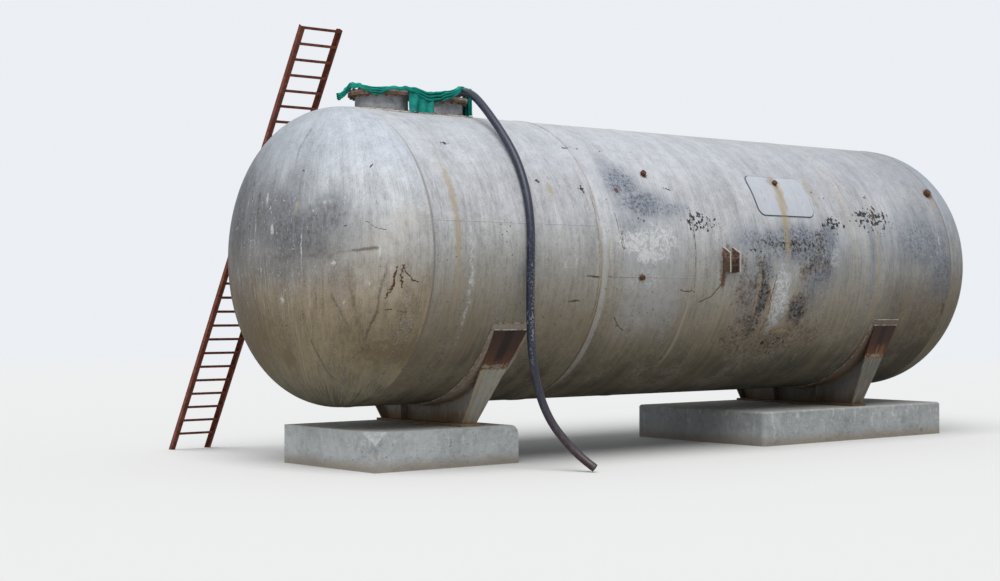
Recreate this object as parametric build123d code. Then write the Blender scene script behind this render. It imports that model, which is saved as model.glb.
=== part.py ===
from build123d import *
from math import atan2, cos, degrees, pi, radians, sin, sqrt, tan
import os

# A welded steel tank for waste oil. It lies on its side on two steel saddles,
# and each saddle stands on a concrete plinth.
#
# The frame: +X runs along the tank towards its far head, +Y towards the side
# that the ladder leans on, and +Z up. The origin is on the underside of the
# near plinth, straight below the tank's axis, in the plane of the near saddle.
# All sizes are in millimetres and all angles in degrees.

os.makedirs("parts", exist_ok=True)

# The tank, with its shell in four rolled courses
tank_radius = 1525
shell_thickness = 12
tank_clearance = 210
near_tangent_x = -1160
course_lengths = (2185, 1406, 2649, 1934)
head_skirt = 58
head_thickness = 14
crown_radius = 2860
knuckle_radius = 630
weld_width = 22
weld_height = 4
strip_gap = 1
strip_width = 62
strip_thickness = 6

# The manways, each with a neck, a flange and a bolted cover. A place is a
# distance from the near tangent line, and a rise is above the shell's top.
manway_places = (555, 1340)
neck_radii = (276, 228)
neck_wall = 10
neck_inside = 30
flange_radii = (350, 282)
flange_rises = (167, 150)
flange_thicknesses = (28, 25)
cover_thicknesses = (28, 25)
bolt_counts = (20, 16)
bolt_hole_radius = 11
bolt_circle_inset = 30
pad_width = 105
pad_thickness = 10

# The saddles. A horn's lean is that of its outer face from upright, and angles
# round the tank are taken from its lowest line.
far_saddle_inset = 1140
near_horn_lean_angle = 34.47
far_horn_lean_angle = 24.6
wear_angle = 63.7
wear_width = 480
wear_thickness = 14
web_thickness = 14
horn_thickness = 16
horn_tip_angle = 61.3
horn_tip_lift = 12
horn_top_width = 430
horn_foot_width = 185
base_plate_width = 260
base_plate_thickness = 28
base_plate_margin = 30
inner_rib_place = 350
inner_rib_thickness = 12

# The concrete plinths, which reach this far to each side of their saddles
plinth_height = 400
near_plinth_reach = (1270, 580)
far_plinth_reach = (1850, 1540)
near_plinth_half = 800
far_plinth_half = 1050
plinth_corner = 60
plinth_edge = 20
near_plinth_round = 110
broken_corner = (150, 240, 130)

# What is welded to the front side of the shell, by its distance from the near
# tangent line and its angle above level
patch_ends = (4795, 5740)
patch_angles = (20.3, 39.9)
patch_thickness = 8
patch_corner = 95
patch_stub_place = 455
patch_stub_angle = 36.3
patch_stub_radius = 30
patch_stub_height = 42
stub_places = (3148, 2844)
stub_angles = (37.3, -7.5)
stub_radii = (30, 27)
stub_heights = (34, 26)
far_stub_inset = 170
far_stub_angle = 36
far_stub_radius = 42
far_stub_height = 55
bracket_ends = (4079, 4243)
bracket_plate = 12
bracket_reach = 113
bracket_top = 155
bracket_shoulder = 67
bracket_bottom = -135
bracket_lip = 8
bracket_bar = 14
bracket_bar_heights = (28, -51)
bracket_bar_inset = 20

# The ladder, made of angle iron
ladder_lean = 30.3
ladder_length = 5240
ladder_gap = 0.3
ladder_rail_places = (-158, 306)
rail_leg = 50
rail_thickness = 5
rung_leg = 30
rung_thickness = 4
rung_pitch = 178.5
first_rung = 223

# The green netting over the manways: rolled on the first cover's rim, in a
# swag from there to the second manway, and hanging in a panel at two places
netting_gap = 0.3
netting_thickness = 12
rim_roll_depth = 30
rim_roll_overhang = 2
rim_roll_angles = (172, 286)
roll_rise = 46
swag_front = -345
swag_depth = 40
swag_start = -65
swag_fall = 175
swag_low_place = 405
swag_end_place = 785
swag_dip = 105
swag_low_rise = 98
swag_end_rise = 14
side_panel_places = (97, 412)
side_panel_heights = (-221, -20)
end_panel_back = -9
end_panel_width = 160
end_panel_drop = 165
tail_length = 140
tail_places = (60, 120)
tail_heights = (-110, -10)

# The pipe elbow, by its place from the middle of the second manway, and the
# hose that is pushed on its end
elbow_diameter = 76
elbow_wall = 4
elbow_place = (144, -50)
elbow_rise = 64
elbow_bend = 60
elbow_reach = 112
elbow_heading = 9.8
hose_diameter = 84
hose_run_share = 0.45
hose_first_run = 110
hose_route = (
    (266, -378, 3875),
    (248, -488, 3825),
    (234, -602, 3748),
    (216, -745, 3635),
    (200, -935, 3462),
    (189, -1125, 3262),
    (170, -1294, 3043),
    (135, -1450, 2765),
    (99, -1546, 2464),
    (72, -1581, 2149),
    (59, -1583, 1840),
    (57, -1585, 1530),
    (67, -1590, 1230),
    (97, -1612, 945),
    (144, -1655, 690),
    (202, -1745, 470),
    (297, -1850, 290),
    (389, -1965, 140),
    (453, -2095, 44),
)

# What follows from those sizes
axis_height = plinth_height + tank_clearance + tank_radius
tangent_length = sum(course_lengths) + 2 * head_skirt
far_tangent_x = near_tangent_x + tangent_length
far_saddle_x = far_tangent_x - far_saddle_inset
seams = [head_skirt + sum(course_lengths[:count]) for count in range(len(course_lengths) + 1)]
wear_radius = tank_radius + wear_thickness
base_top = plinth_height + base_plate_thickness
flange_tops = [tank_radius + rise for rise in flange_rises]
cover_tops = [top + thickness for top, thickness in zip(flange_tops, cover_thicknesses)]
beyond_tank = tangent_length + 4 * tank_radius
axis_line = Axis((0, 0, axis_height), (1, 0, 0))
hose_direction = Vector(-sin(radians(elbow_heading)), -cos(radians(elbow_heading)), 0)


def keep(name, part):
    """Write one piece to its own file and say how large it is."""
    part.label = name
    export_step(part, f"parts/{name}.step")
    print(f"{name}: {len(part.solids())} solid(s), {part.volume / 1e9:.4f} m3")


def along_tank(distance):
    """The x of a place that lies this far from the near tangent line."""
    return near_tangent_x + distance


def around_axis(profile, arc=360):
    """Turn a profile, drawn as length and radius, about the tank's axis."""
    return Pos(0, 0, axis_height) * revolve(profile, Axis.X, arc)


def tank_cylinder(radius):
    """A solid bar on the tank's axis, longer than the tank."""
    middle = near_tangent_x + tangent_length / 2
    return Pos(middle, 0, axis_height) * Rot(0, 90, 0) * Cylinder(radius, beyond_tank)


def tank_ring(inner, outer, start, end):
    """A tube on the tank's axis, between two places along it."""
    flat = Rectangle(end - start, outer - inner)
    return around_axis(Pos((start + end) / 2, (inner + outer) / 2) * flat)


def side_plane(distance, angle):
    """A plane on the tank's axis that looks out of the front side, at an angle above level."""
    outwards = (0, -cos(radians(angle)), sin(radians(angle)))
    return Plane(origin=(along_tank(distance), 0, axis_height), x_dir=(1, 0, 0), z_dir=outwards)


def upright_plane(x):
    """A plane across the tank at x, drawn on as y and z."""
    return Plane(origin=(x, 0, 0), x_dir=(0, 1, 0), z_dir=(1, 0, 0))


def on_circle(centre, radius, angle):
    """A point at an angle from the tank's axis, on a circle about a centre on the profile."""
    return (centre[0] + radius * cos(radians(angle)), centre[1] + radius * sin(radians(angle)))


def head_profile():
    """Half the section of a head with a crown and a knuckle, bulging towards +x from x = 0."""
    knuckle_centre = (0, tank_radius - knuckle_radius)
    between = crown_radius - knuckle_radius
    crown_centre = (-sqrt(between**2 - knuckle_centre[1] ** 2), 0)
    join_angle = degrees(atan2(knuckle_centre[1], -crown_centre[0]))
    rows = []
    for inset in (0, head_thickness):
        crown = crown_radius - inset
        knuckle = knuckle_radius - inset
        skirt_end = (-head_skirt, tank_radius - inset)
        tangent = (0, tank_radius - inset)
        middle = on_circle(knuckle_centre, knuckle, (90 + join_angle) / 2)
        join = on_circle(knuckle_centre, knuckle, join_angle)
        crown_middle = on_circle(crown_centre, crown, join_angle / 2)
        pole = (crown_centre[0] + crown, 0)
        rows.append((skirt_end, tangent, middle, join, crown_middle, pole))
    edges = []
    for skirt_end, tangent, middle, join, crown_middle, pole in rows:
        edges.append(Line(skirt_end, tangent))
        edges.append(ThreePointArc(tangent, middle, join))
        edges.append(ThreePointArc(join, crown_middle, pole))
    edges.append(Line(rows[0][0], rows[1][0]))
    edges.append(Line(rows[0][-1], rows[1][-1]))
    return make_face(edges)


def heads():
    head = around_axis(head_profile())
    keep("far_head", Pos(far_tangent_x, 0, 0) * head)
    keep("near_head", Pos(near_tangent_x, 0, 0) * Rot(0, 0, 180) * head)


def upright_disc(radius, bottom, top, x):
    """A disc on a manway's upright line, from one height above the axis to another."""
    disc = Cylinder(radius, top - bottom, align=(Align.CENTER, Align.CENTER, Align.MIN))
    return Pos(x, 0, axis_height + bottom) * disc


def shell_courses():
    inner = tank_radius - shell_thickness
    for number, (start, end) in enumerate(zip(seams, seams[1:]), 1):
        course = tank_ring(inner, tank_radius, along_tank(start), along_tank(end))
        for place, neck, top in zip(manway_places, neck_radii, flange_tops):
            if start < place < end:
                course -= upright_disc(neck, 0, top, along_tank(place))
        keep(f"shell_course_{number}", course)


def girth_welds():
    """Raised weld beads round the seams between the courses and the heads."""
    half = weld_width / 2
    beads = []
    for seam in seams:
        foot = (along_tank(seam) - half, tank_radius)
        crest = (along_tank(seam), tank_radius + weld_height)
        end = (along_tank(seam) + half, tank_radius)
        bead = make_face([Polyline(foot, crest, end), Line(end, foot)])
        beads.append(around_axis(bead))
    keep("girth_welds", Compound(beads))


def seam_cover_strip():
    """A flat band round the shell, just past the bead between the first two courses."""
    start = along_tank(seams[1]) + weld_width / 2 + strip_gap
    strip = tank_ring(tank_radius, tank_radius + strip_thickness, start, start + strip_width)
    keep("seam_cover_strip", strip)


def bolt_holes(index, bottom, top, x):
    """The holes of a manway's bolt circle, none of them on the line of the tank's axis."""
    circle = flange_radii[index] - bolt_circle_inset
    hole = upright_disc(bolt_hole_radius, bottom, top, x)
    step = 2 * pi / bolt_counts[index]
    turns = [step * (number + 0.5) for number in range(bolt_counts[index])]
    return [Pos(circle * cos(turn), circle * sin(turn), 0) * hole for turn in turns]


def manway(index):
    name = f"manway_{index + 1}"
    x = along_tank(manway_places[index])
    neck = neck_radii[index]
    flange = flange_radii[index]
    flange_top = flange_tops[index]
    flange_bottom = flange_top - flange_thicknesses[index]
    neck_bottom = sqrt(tank_radius**2 - neck**2) - shell_thickness - neck_inside

    tube = upright_disc(neck, neck_bottom, flange_top, x)
    tube -= upright_disc(neck - neck_wall, neck_bottom, flange_top, x)
    keep(f"{name}_neck", tube)

    ring = upright_disc(flange, flange_bottom, flange_top, x)
    ring -= upright_disc(neck, flange_bottom, flange_top, x)
    ring -= bolt_holes(index, flange_bottom, flange_top, x)
    keep(f"{name}_flange", ring)

    cover = upright_disc(flange, flange_top, cover_tops[index], x)
    cover -= bolt_holes(index, flange_top, cover_tops[index], x)
    if index == 1:
        cover -= elbow_bore()
    keep(f"{name}_cover", cover)

    pad = upright_disc(neck + pad_width, 0, flange_bottom, x)
    pad -= upright_disc(neck, 0, flange_bottom, x)
    pad &= tank_ring(tank_radius, tank_radius + pad_thickness, x - tank_radius, x + tank_radius)
    keep(f"{name}_pad", pad)


def elbow_path():
    """The line of the pipe elbow: up from the second manway's cover, then level towards the front."""
    x = along_tank(manway_places[1]) + elbow_place[0]
    foot = Vector(x, elbow_place[1], axis_height + cover_tops[1])
    corner = foot + Vector(0, 0, elbow_rise)
    return FilletPolyline(foot, corner, corner + hose_direction * elbow_reach, radius=elbow_bend)


def elbow_bar(radius):
    path = elbow_path()
    return sweep(Plane(path @ 0, z_dir=path % 0) * Circle(radius), path)


def elbow_bore():
    """The hole in the cover that the elbow's bore runs into."""
    foot = elbow_path() @ 0
    hole = Cylinder(elbow_diameter / 2 - elbow_wall, 2 * cover_thicknesses[1])
    return Pos(foot.X, foot.Y, foot.Z - cover_thicknesses[1] / 2) * hole


def hose_elbow():
    keep("hose_elbow", elbow_bar(elbow_diameter / 2) - elbow_bar(elbow_diameter / 2 - elbow_wall))


def hose():
    """A tube of straight runs from the elbow's end, joined by arcs as large as the runs allow."""
    start = elbow_path() @ 1
    second = start + hose_direction * hose_first_run
    points = [start, second, *(Vector(*point) for point in hose_route)]
    runs = [after - before for before, after in zip(points, points[1:])]
    radii = []
    for before, after in zip(runs, runs[1:]):
        half_turn = radians(before.get_angle(after)) / 2
        radii.append(hose_run_share * min(before.length, after.length) / tan(half_turn))
    path = FilletPolyline(*points, radius=radii)
    tube = sweep(Plane(path @ 0, z_dir=path % 0) * Circle(hose_diameter / 2), path)
    expected = pi * (hose_diameter / 2) ** 2 * path.length
    first_points = [tuple(round(value, 1) for value in point) for point in points[:2]]
    print(f"hose: {path.length:.0f} mm long, first points {first_points}")
    print(f"hose: volume {tube.volume / expected:.4f} of section by length")
    print("hose: bend radii", [round(radius) for radius in radii])
    keep("hose", tube)


def horn_line(lean):
    """Where the outer face of a saddle's horn plate starts and ends, as half widths and heights."""
    reach = wear_radius + horn_tip_lift
    angle = radians(horn_tip_angle)
    tip = (reach * sin(angle), axis_height - reach * cos(angle))
    return (tip[0] - (tip[1] - base_top) * tan(radians(lean)), base_top), tip


def horn_plate(x, lean, side):
    """The sloped end plate of a saddle, wide at the tank and narrow at the foot, coped to the wear plate."""
    foot, tip = horn_line(lean)
    across, up = tip[0] - foot[0], tip[1] - foot[1]
    length = sqrt(across**2 + up**2)
    spread = (horn_top_width - horn_foot_width) / 2 / length
    below = horn_thickness * across / up
    low_half = horn_foot_width / 2 - spread * below
    high_half = horn_top_width / 2
    outline = Polyline(
        (-low_half, side * below),
        (low_half, side * below),
        (high_half, -side * length),
        (-high_half, -side * length),
        close=True,
    )
    outwards = (0, side * up, -across)
    plane = Plane(origin=(x, side * foot[0], foot[1]), x_dir=(1, 0, 0), z_dir=outwards)
    plate = extrude(plane * make_face(outline), -horn_thickness)
    plate -= tank_cylinder(wear_radius)
    size = (2 * horn_top_width, beyond_tank, tank_radius)
    under_foot = Box(*size, align=(Align.CENTER, Align.CENTER, Align.MAX))
    return plate - Pos(x, 0, base_top) * under_foot


def saddle(name, x, lean):
    foot, tip = horn_line(lean)
    bearing = tank_cylinder(wear_radius)

    sheet = Rectangle(wear_width, wear_thickness)
    wear = around_axis(Pos(x, tank_radius + wear_thickness / 2) * sheet, 2 * wear_angle)
    wear = wear.rotate(axis_line, -90 - wear_angle)
    keep(f"{name}_wear_plate", wear)

    # The web's sloped ends lie on the inner faces of the horn plates.
    across, up = tip[0] - foot[0], tip[1] - foot[1]
    inset = horn_thickness * sqrt(across**2 + up**2) / up
    low, high = foot[0] - inset, tip[0] - inset
    corners = ((-low, foot[1]), (low, foot[1]), (high, tip[1]), (-high, tip[1]))
    sheet = make_face(Polyline(*corners, close=True))
    web = extrude(upright_plane(x) * sheet, web_thickness / 2, both=True)
    keep(f"{name}_web", web - bearing)

    keep(f"{name}_front_horn", horn_plate(x, lean, -1))
    keep(f"{name}_back_horn", horn_plate(x, lean, 1))

    depth = (horn_foot_width - web_thickness) / 2
    stock = (depth, inner_rib_thickness, tank_radius)
    ribs = []
    for y in (-inner_rib_place, inner_rib_place):
        for side in (-1, 1):
            rib = Box(*stock, align=(Align.CENTER, Align.CENTER, Align.MIN))
            middle = x + side * (web_thickness + depth) / 2
            ribs.append(Pos(middle, y, base_top) * rib - bearing)
    keep(f"{name}_inner_ribs", Compound(ribs))

    half_length = foot[0] + base_plate_margin
    plate = Box(base_plate_width, 2 * half_length, base_plate_thickness)
    keep(f"{name}_base_plate", Pos(x, 0, base_top - base_plate_thickness / 2) * plate)


def plinth_block(reach, half_width):
    """A plain block that reaches this far to each side of its saddle's plane."""
    size = (sum(reach), 2 * half_width, plinth_height)
    return Pos(-reach[0], 0, 0) * Box(*size, align=(Align.MIN, Align.CENTER, Align.MIN))


def near_plinth():
    """The near block: its far top edge is rounded and its front corner is broken off."""
    block = plinth_block(near_plinth_reach, near_plinth_half)
    top_edges = block.edges().filter_by(Axis.Y).group_by(Axis.Z)[-1]
    block = fillet(top_edges.sort_by(Axis.X)[-1], near_plinth_round)
    along, across, down = broken_corner
    corner = Vector(-near_plinth_reach[0], -near_plinth_half, plinth_height)
    first, second, third = (corner + Vector(*step) for step in ((along, 0, 0), (0, across, 0), (0, 0, -down)))
    break_face = Plane(origin=first, x_dir=second - first, z_dir=(second - first).cross(third - first))
    block = split(block, bisect_by=break_face, keep=Keep.BOTTOM)
    keep("near_plinth", block)


def far_plinth():
    """The far block: its upright corners are rounded and its top edges are worn."""
    block = plinth_block(far_plinth_reach, far_plinth_half)
    block = fillet(block.edges().filter_by(Axis.Z), plinth_corner)
    block = chamfer(block.faces().sort_by(Axis.Z)[-1].edges(), plinth_edge)
    keep("far_plinth", Pos(far_saddle_x, 0, 0) * block)


def patch_plate():
    half_turn = radians(patch_angles[1] - patch_angles[0]) / 2
    width = patch_ends[1] - patch_ends[0]
    height = 2 * tank_radius * sin(half_turn)
    plane = side_plane(sum(patch_ends) / 2, sum(patch_angles) / 2)
    prism = extrude(plane * RectangleRounded(width, height, patch_corner), 2 * tank_radius)
    start, end = along_tank(patch_ends[0]), along_tank(patch_ends[1])
    keep("patch_plate", prism & tank_ring(tank_radius, tank_radius + patch_thickness, start, end))


def pipe_stub(distance, angle, radius, height, seat_thickness=0):
    """A short stub square to the shell, cut to the round that it stands on."""
    stub = extrude(side_plane(distance, angle) * Circle(radius), tank_radius + height)
    return stub - tank_cylinder(tank_radius + seat_thickness)


def pipe_stubs():
    """Short stubs left on the shell and on the patch where pipes were cut off."""
    rows = zip(stub_places, stub_angles, stub_radii, stub_heights)
    stubs = [pipe_stub(*row) for row in rows]
    far_place = tangent_length - far_stub_inset
    stubs.append(pipe_stub(far_place, far_stub_angle, far_stub_radius, far_stub_height))
    place = patch_ends[0] + patch_stub_place
    stubs.append(pipe_stub(place, patch_stub_angle, patch_stub_radius, patch_stub_height, patch_thickness))
    keep("pipe_stubs", Compound(stubs))


def side_bracket():
    """Two gusset plates on the front side, with two square bars between them."""
    start, end = along_tank(bracket_ends[0]), along_tank(bracket_ends[1])
    surface = -tank_radius
    edge = surface - bracket_reach
    top, bottom = axis_height + bracket_top, axis_height + bracket_bottom
    outline = Polyline(
        (surface / 2, top),
        (surface, top),
        (edge, top - bracket_shoulder),
        (edge, bottom + bracket_lip),
        (surface, bottom),
        (surface / 2, bottom),
        close=True,
    )
    gusset = make_face(outline)
    pieces = [extrude(upright_plane(x) * gusset, bracket_plate) for x in (start, end - bracket_plate)]
    for height in bracket_bar_heights:
        bar = Box(end - start, bracket_bar, bracket_bar, align=(Align.MIN, Align.CENTER, Align.CENTER))
        pieces.append(Pos(start, edge + bracket_bar_inset, axis_height + height) * bar)
    keep("side_bracket", pieces[0].fuse(*pieces[1:]) - tank_cylinder(tank_radius))


def angle_iron(leg, thickness):
    """The L-shaped section of an angle iron, with its middle at the origin."""
    corner = Pos(-leg / 2, -leg / 2)
    flat = corner * Rectangle(leg, thickness, align=(Align.MIN, Align.MIN))
    upright = corner * Rectangle(thickness, leg, align=(Align.MIN, Align.MIN))
    return flat + upright


def ladder():
    """Two rails that stand on the ground and lean on the back of the shell, with rungs between."""
    lean = radians(ladder_lean)
    outwards = Vector(0, cos(lean), sin(lean))
    upwards = Vector(0, -sin(lean), cos(lean))
    middle = Vector(0, 0, axis_height) + outwards * (tank_radius + ladder_gap + rail_leg / 2)
    foot = middle - upwards * (middle.Z / cos(lean))
    start = foot - upwards * rail_leg
    floor = Box(beyond_tank, beyond_tank, beyond_tank, align=(Align.CENTER, Align.CENTER, Align.MAX))
    names = ("ladder_near_rail", "ladder_far_rail")
    for name, distance, turned in zip(names, ladder_rail_places, (1, -1)):
        origin = (along_tank(distance), start.Y, start.Z)
        plane = Plane(origin=origin, x_dir=(turned, 0, 0), z_dir=tuple(upwards))
        rail = extrude(plane * angle_iron(rail_leg, rail_thickness), ladder_length + rail_leg)
        keep(name, rail - floor)

    inside = rail_leg / 2 - rail_thickness
    start_x = along_tank(ladder_rail_places[0]) - inside
    end_x = along_tank(ladder_rail_places[1]) + inside
    rungs = []
    for step in range(int((ladder_length - first_rung) // rung_pitch) + 1):
        place = foot + upwards * (first_rung + step * rung_pitch)
        plane = Plane(origin=(start_x, place.Y, place.Z), x_dir=tuple(outwards), z_dir=(1, 0, 0))
        rungs.append(extrude(plane * angle_iron(rung_leg, rung_thickness), end_x - start_x))
    keep("ladder_rungs", Compound(rungs))


def netting_bundle():
    """The rolled part of the net, round the first cover's rim and in a swag to the second manway."""
    middle = along_tank(manway_places[0])
    start, end = rim_roll_angles
    outer = flange_radii[0] + rim_roll_overhang
    inner = outer - rim_roll_depth
    rims = (CenterArc((0, 0), outer, start, end - start), CenterArc((0, 0), inner, start, end - start))
    ends = [Line(rims[0] @ place, rims[1] @ place) for place in (0, 1)]
    low = cover_tops[0] + netting_gap
    roll = extrude(Pos(middle, 0, axis_height + low) * make_face([*rims, *ends]), roll_rise)

    high = low + roll_rise
    dip = (swag_low_place, cover_tops[0] - swag_dip)
    last = (swag_end_place, cover_tops[0] + swag_end_rise)
    outline = [
        Line((swag_start, high), (swag_start, low)),
        Line((swag_start, low), (swag_fall, low)),
        ThreePointArc((swag_fall, low), dip, last),
        Line(last, (last[0], last[1] + roll_rise)),
        ThreePointArc((last[0], last[1] + roll_rise), (dip[0], dip[1] + swag_low_rise), (swag_fall, high)),
        Line((swag_fall, high), (swag_start, high)),
    ]
    plane = Plane(origin=(middle, swag_front + swag_depth, axis_height), x_dir=(1, 0, 0), z_dir=(0, -1, 0))
    return roll + extrude(plane * make_face(outline), swag_depth)


def netting():
    """Plain solids in the place of a strip of green net laid over both manways."""
    keep("netting_bundle", netting_bundle())

    middle = along_tank(manway_places[0])
    start, end = side_panel_places
    low, high = side_panel_heights
    panel = Box(end - start, netting_thickness, high - low, align=(Align.MIN, Align.MAX, Align.MIN))
    place = Pos(middle + start, swag_front - netting_gap, axis_height + cover_tops[0] + low)
    keep("netting_side_panel", place * panel)

    x = along_tank(manway_places[1] + flange_radii[1]) + netting_gap
    size = (netting_thickness, end_panel_width, end_panel_drop)
    panel = Box(*size, align=(Align.MIN, Align.MAX, Align.MAX))
    keep("netting_end_panel", Pos(x, end_panel_back, axis_height + cover_tops[1]) * panel)

    front, back = tail_places
    low, high = tail_heights
    x = middle - sqrt(flange_radii[0] ** 2 - front**2) - netting_gap
    tail = Box(tail_length, back - front, high - low, align=(Align.MAX, Align.MIN, Align.MIN))
    keep("netting_tail", Pos(x, front, axis_height + cover_tops[0] + low) * tail)


heads()
shell_courses()
girth_welds()
seam_cover_strip()
manway(0)
manway(1)
saddle("near_saddle", 0, near_horn_lean_angle)
saddle("far_saddle", far_saddle_x, far_horn_lean_angle)
near_plinth()
far_plinth()
patch_plate()
pipe_stubs()
side_bracket()
ladder()
netting()
hose_elbow()
hose()
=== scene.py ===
# %% [markdown]
# # A waste oil tank
#
# This lesson dresses a welded steel tank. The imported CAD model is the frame: its pieces are already at
# their real size and place, in metres, with +X along the tank, +Y towards the side that the ladder leans on
# and +Z up. So the lesson never moves a CAD piece. It gives each one a finish, and adds what is too soft or
# too fine for CAD: the hose, the green net, bolts, weld beads, rust and dirt.

# %% The frame
from math import cos, pi, radians

import bpy
import numpy as np
from mathutils import Euler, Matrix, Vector


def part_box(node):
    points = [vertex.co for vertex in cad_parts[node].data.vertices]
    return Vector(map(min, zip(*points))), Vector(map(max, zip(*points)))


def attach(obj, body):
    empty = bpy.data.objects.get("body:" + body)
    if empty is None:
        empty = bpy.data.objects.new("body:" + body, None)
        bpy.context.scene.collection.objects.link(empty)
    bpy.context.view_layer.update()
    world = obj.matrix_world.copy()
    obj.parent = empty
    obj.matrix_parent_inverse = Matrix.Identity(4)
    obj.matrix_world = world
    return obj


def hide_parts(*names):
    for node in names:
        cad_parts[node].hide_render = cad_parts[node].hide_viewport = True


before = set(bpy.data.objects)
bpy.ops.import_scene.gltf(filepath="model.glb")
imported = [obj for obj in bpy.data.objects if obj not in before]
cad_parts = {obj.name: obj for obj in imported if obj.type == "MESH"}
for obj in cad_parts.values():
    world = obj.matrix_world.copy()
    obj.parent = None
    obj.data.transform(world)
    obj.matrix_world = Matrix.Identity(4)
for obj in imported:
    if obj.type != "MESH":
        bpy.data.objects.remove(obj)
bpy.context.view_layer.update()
print("the frame has", len(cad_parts), "nodes")

# %% [markdown]
# The tank's own measures come from the frame. The lying cylinder's radius and axis are read from its first
# course, and the near tangent line is where the near head's dish starts, 58 mm before the first seam.

# %% The tank's measures
course_low, course_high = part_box("shell_course_1")
tank_radius = (course_high.z - course_low.z) / 2
axis_height = (course_high.z + course_low.z) / 2
head_skirt = 0.058
near_tangent = course_low.x - head_skirt
far_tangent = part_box("shell_course_4")[1].x + head_skirt
print("radius", round(tank_radius, 3), "and axis at", round(axis_height, 3))
print("tangents at", round(near_tangent, 3), "and", round(far_tangent, 3))

# %% [markdown]
# The camera stands where the photographer stood, at eye height, and looks along the tank at an angle of
# about 40 degrees. Its place was found by matching the outlines of both dished ends. The long lens keeps
# the tank's perspective gentle.

# %% The camera
eye = Vector((-11.654, -14.973, 1.658))
heading = 40.21
tilt = 0.43
camera_data = bpy.data.cameras.new("eye")
camera_data.lens = 64.54
camera_data.sensor_width = 36.0
camera_data.clip_end = 400.0
camera = bpy.data.objects.new("eye", camera_data)
camera.location = eye
camera.rotation_euler = Euler((radians(90 + tilt), 0.0, -radians(heading)))
bpy.context.scene.collection.objects.link(camera)
bpy.context.scene.camera = camera
print("the camera stands", round((eye - Vector((0, 0, axis_height))).length, 2), "m from the near saddle")

# %% [markdown]
# The hose leaves the pipe elbow on the second manway's cover, bends over the shell and hangs free beside it
# down to the ground. A hose is one smooth curve of a fixed length, so it is a NURBS curve whose control
# points are the corners of its route. Order 3 with end points in use makes the curve start and stop on
# them. Blender adds the points' radius to a curve's box, so the radius is the hose's own and the bevel is
# 1.

# %% The hose
hose_diameter = 0.084
hose_route = (
    (0.305, -0.16, 3.899), (0.286, -0.269, 3.899), (0.266, -0.378, 3.875), (0.248, -0.488, 3.825),
    (0.234, -0.602, 3.748), (0.216, -0.745, 3.635), (0.2, -0.935, 3.462), (0.189, -1.125, 3.262),
    (0.17, -1.294, 3.043), (0.135, -1.45, 2.765), (0.099, -1.546, 2.464), (0.072, -1.581, 2.149),
    (0.059, -1.583, 1.84), (0.057, -1.585, 1.53), (0.067, -1.59, 1.23), (0.097, -1.612, 0.945),
    (0.144, -1.655, 0.69), (0.202, -1.745, 0.47), (0.297, -1.85, 0.29), (0.389, -1.965, 0.14),
    (0.453, -2.095, 0.044),
)
hose_curve = bpy.data.curves.new("hose_line", "CURVE")
hose_curve.dimensions = "3D"
hose_curve.resolution_u = 10
hose_curve.bevel_depth = 1.0
hose_curve.bevel_resolution = 7
hose_curve.use_fill_caps = True
spline = hose_curve.splines.new("NURBS")
spline.points.add(len(hose_route) - 1)
for point, place in zip(spline.points, hose_route):
    point.co = (*place, 1.0)
    point.radius = hose_diameter / 2
spline.order_u = 3
spline.use_endpoint_u = True
hose = bpy.data.objects.new("hose_line", hose_curve)
bpy.context.scene.collection.objects.link(hose)
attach(hose, "root")
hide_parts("hose")
print("the hose has", len(hose_route), "control points")

# %% [markdown]
# A material is a formula for the surface. Written as nodes it would be long, so a small class lets Python
# write it: it wraps one socket, and its operators add Math nodes. Colours go through Mix nodes instead,
# because a Math node would turn them grey. Any other node comes from one method, which takes the node's
# type, its settings and then the values or links of its sockets. Its last methods draw marks that have a
# place: strokes and ovals on a plane.

# %% A small language for finishes
def combine(u, v):
    """Two values as one vector."""
    return u.node("ShaderNodeCombineXYZ", X=u, Y=v, Z=0.0)


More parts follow.
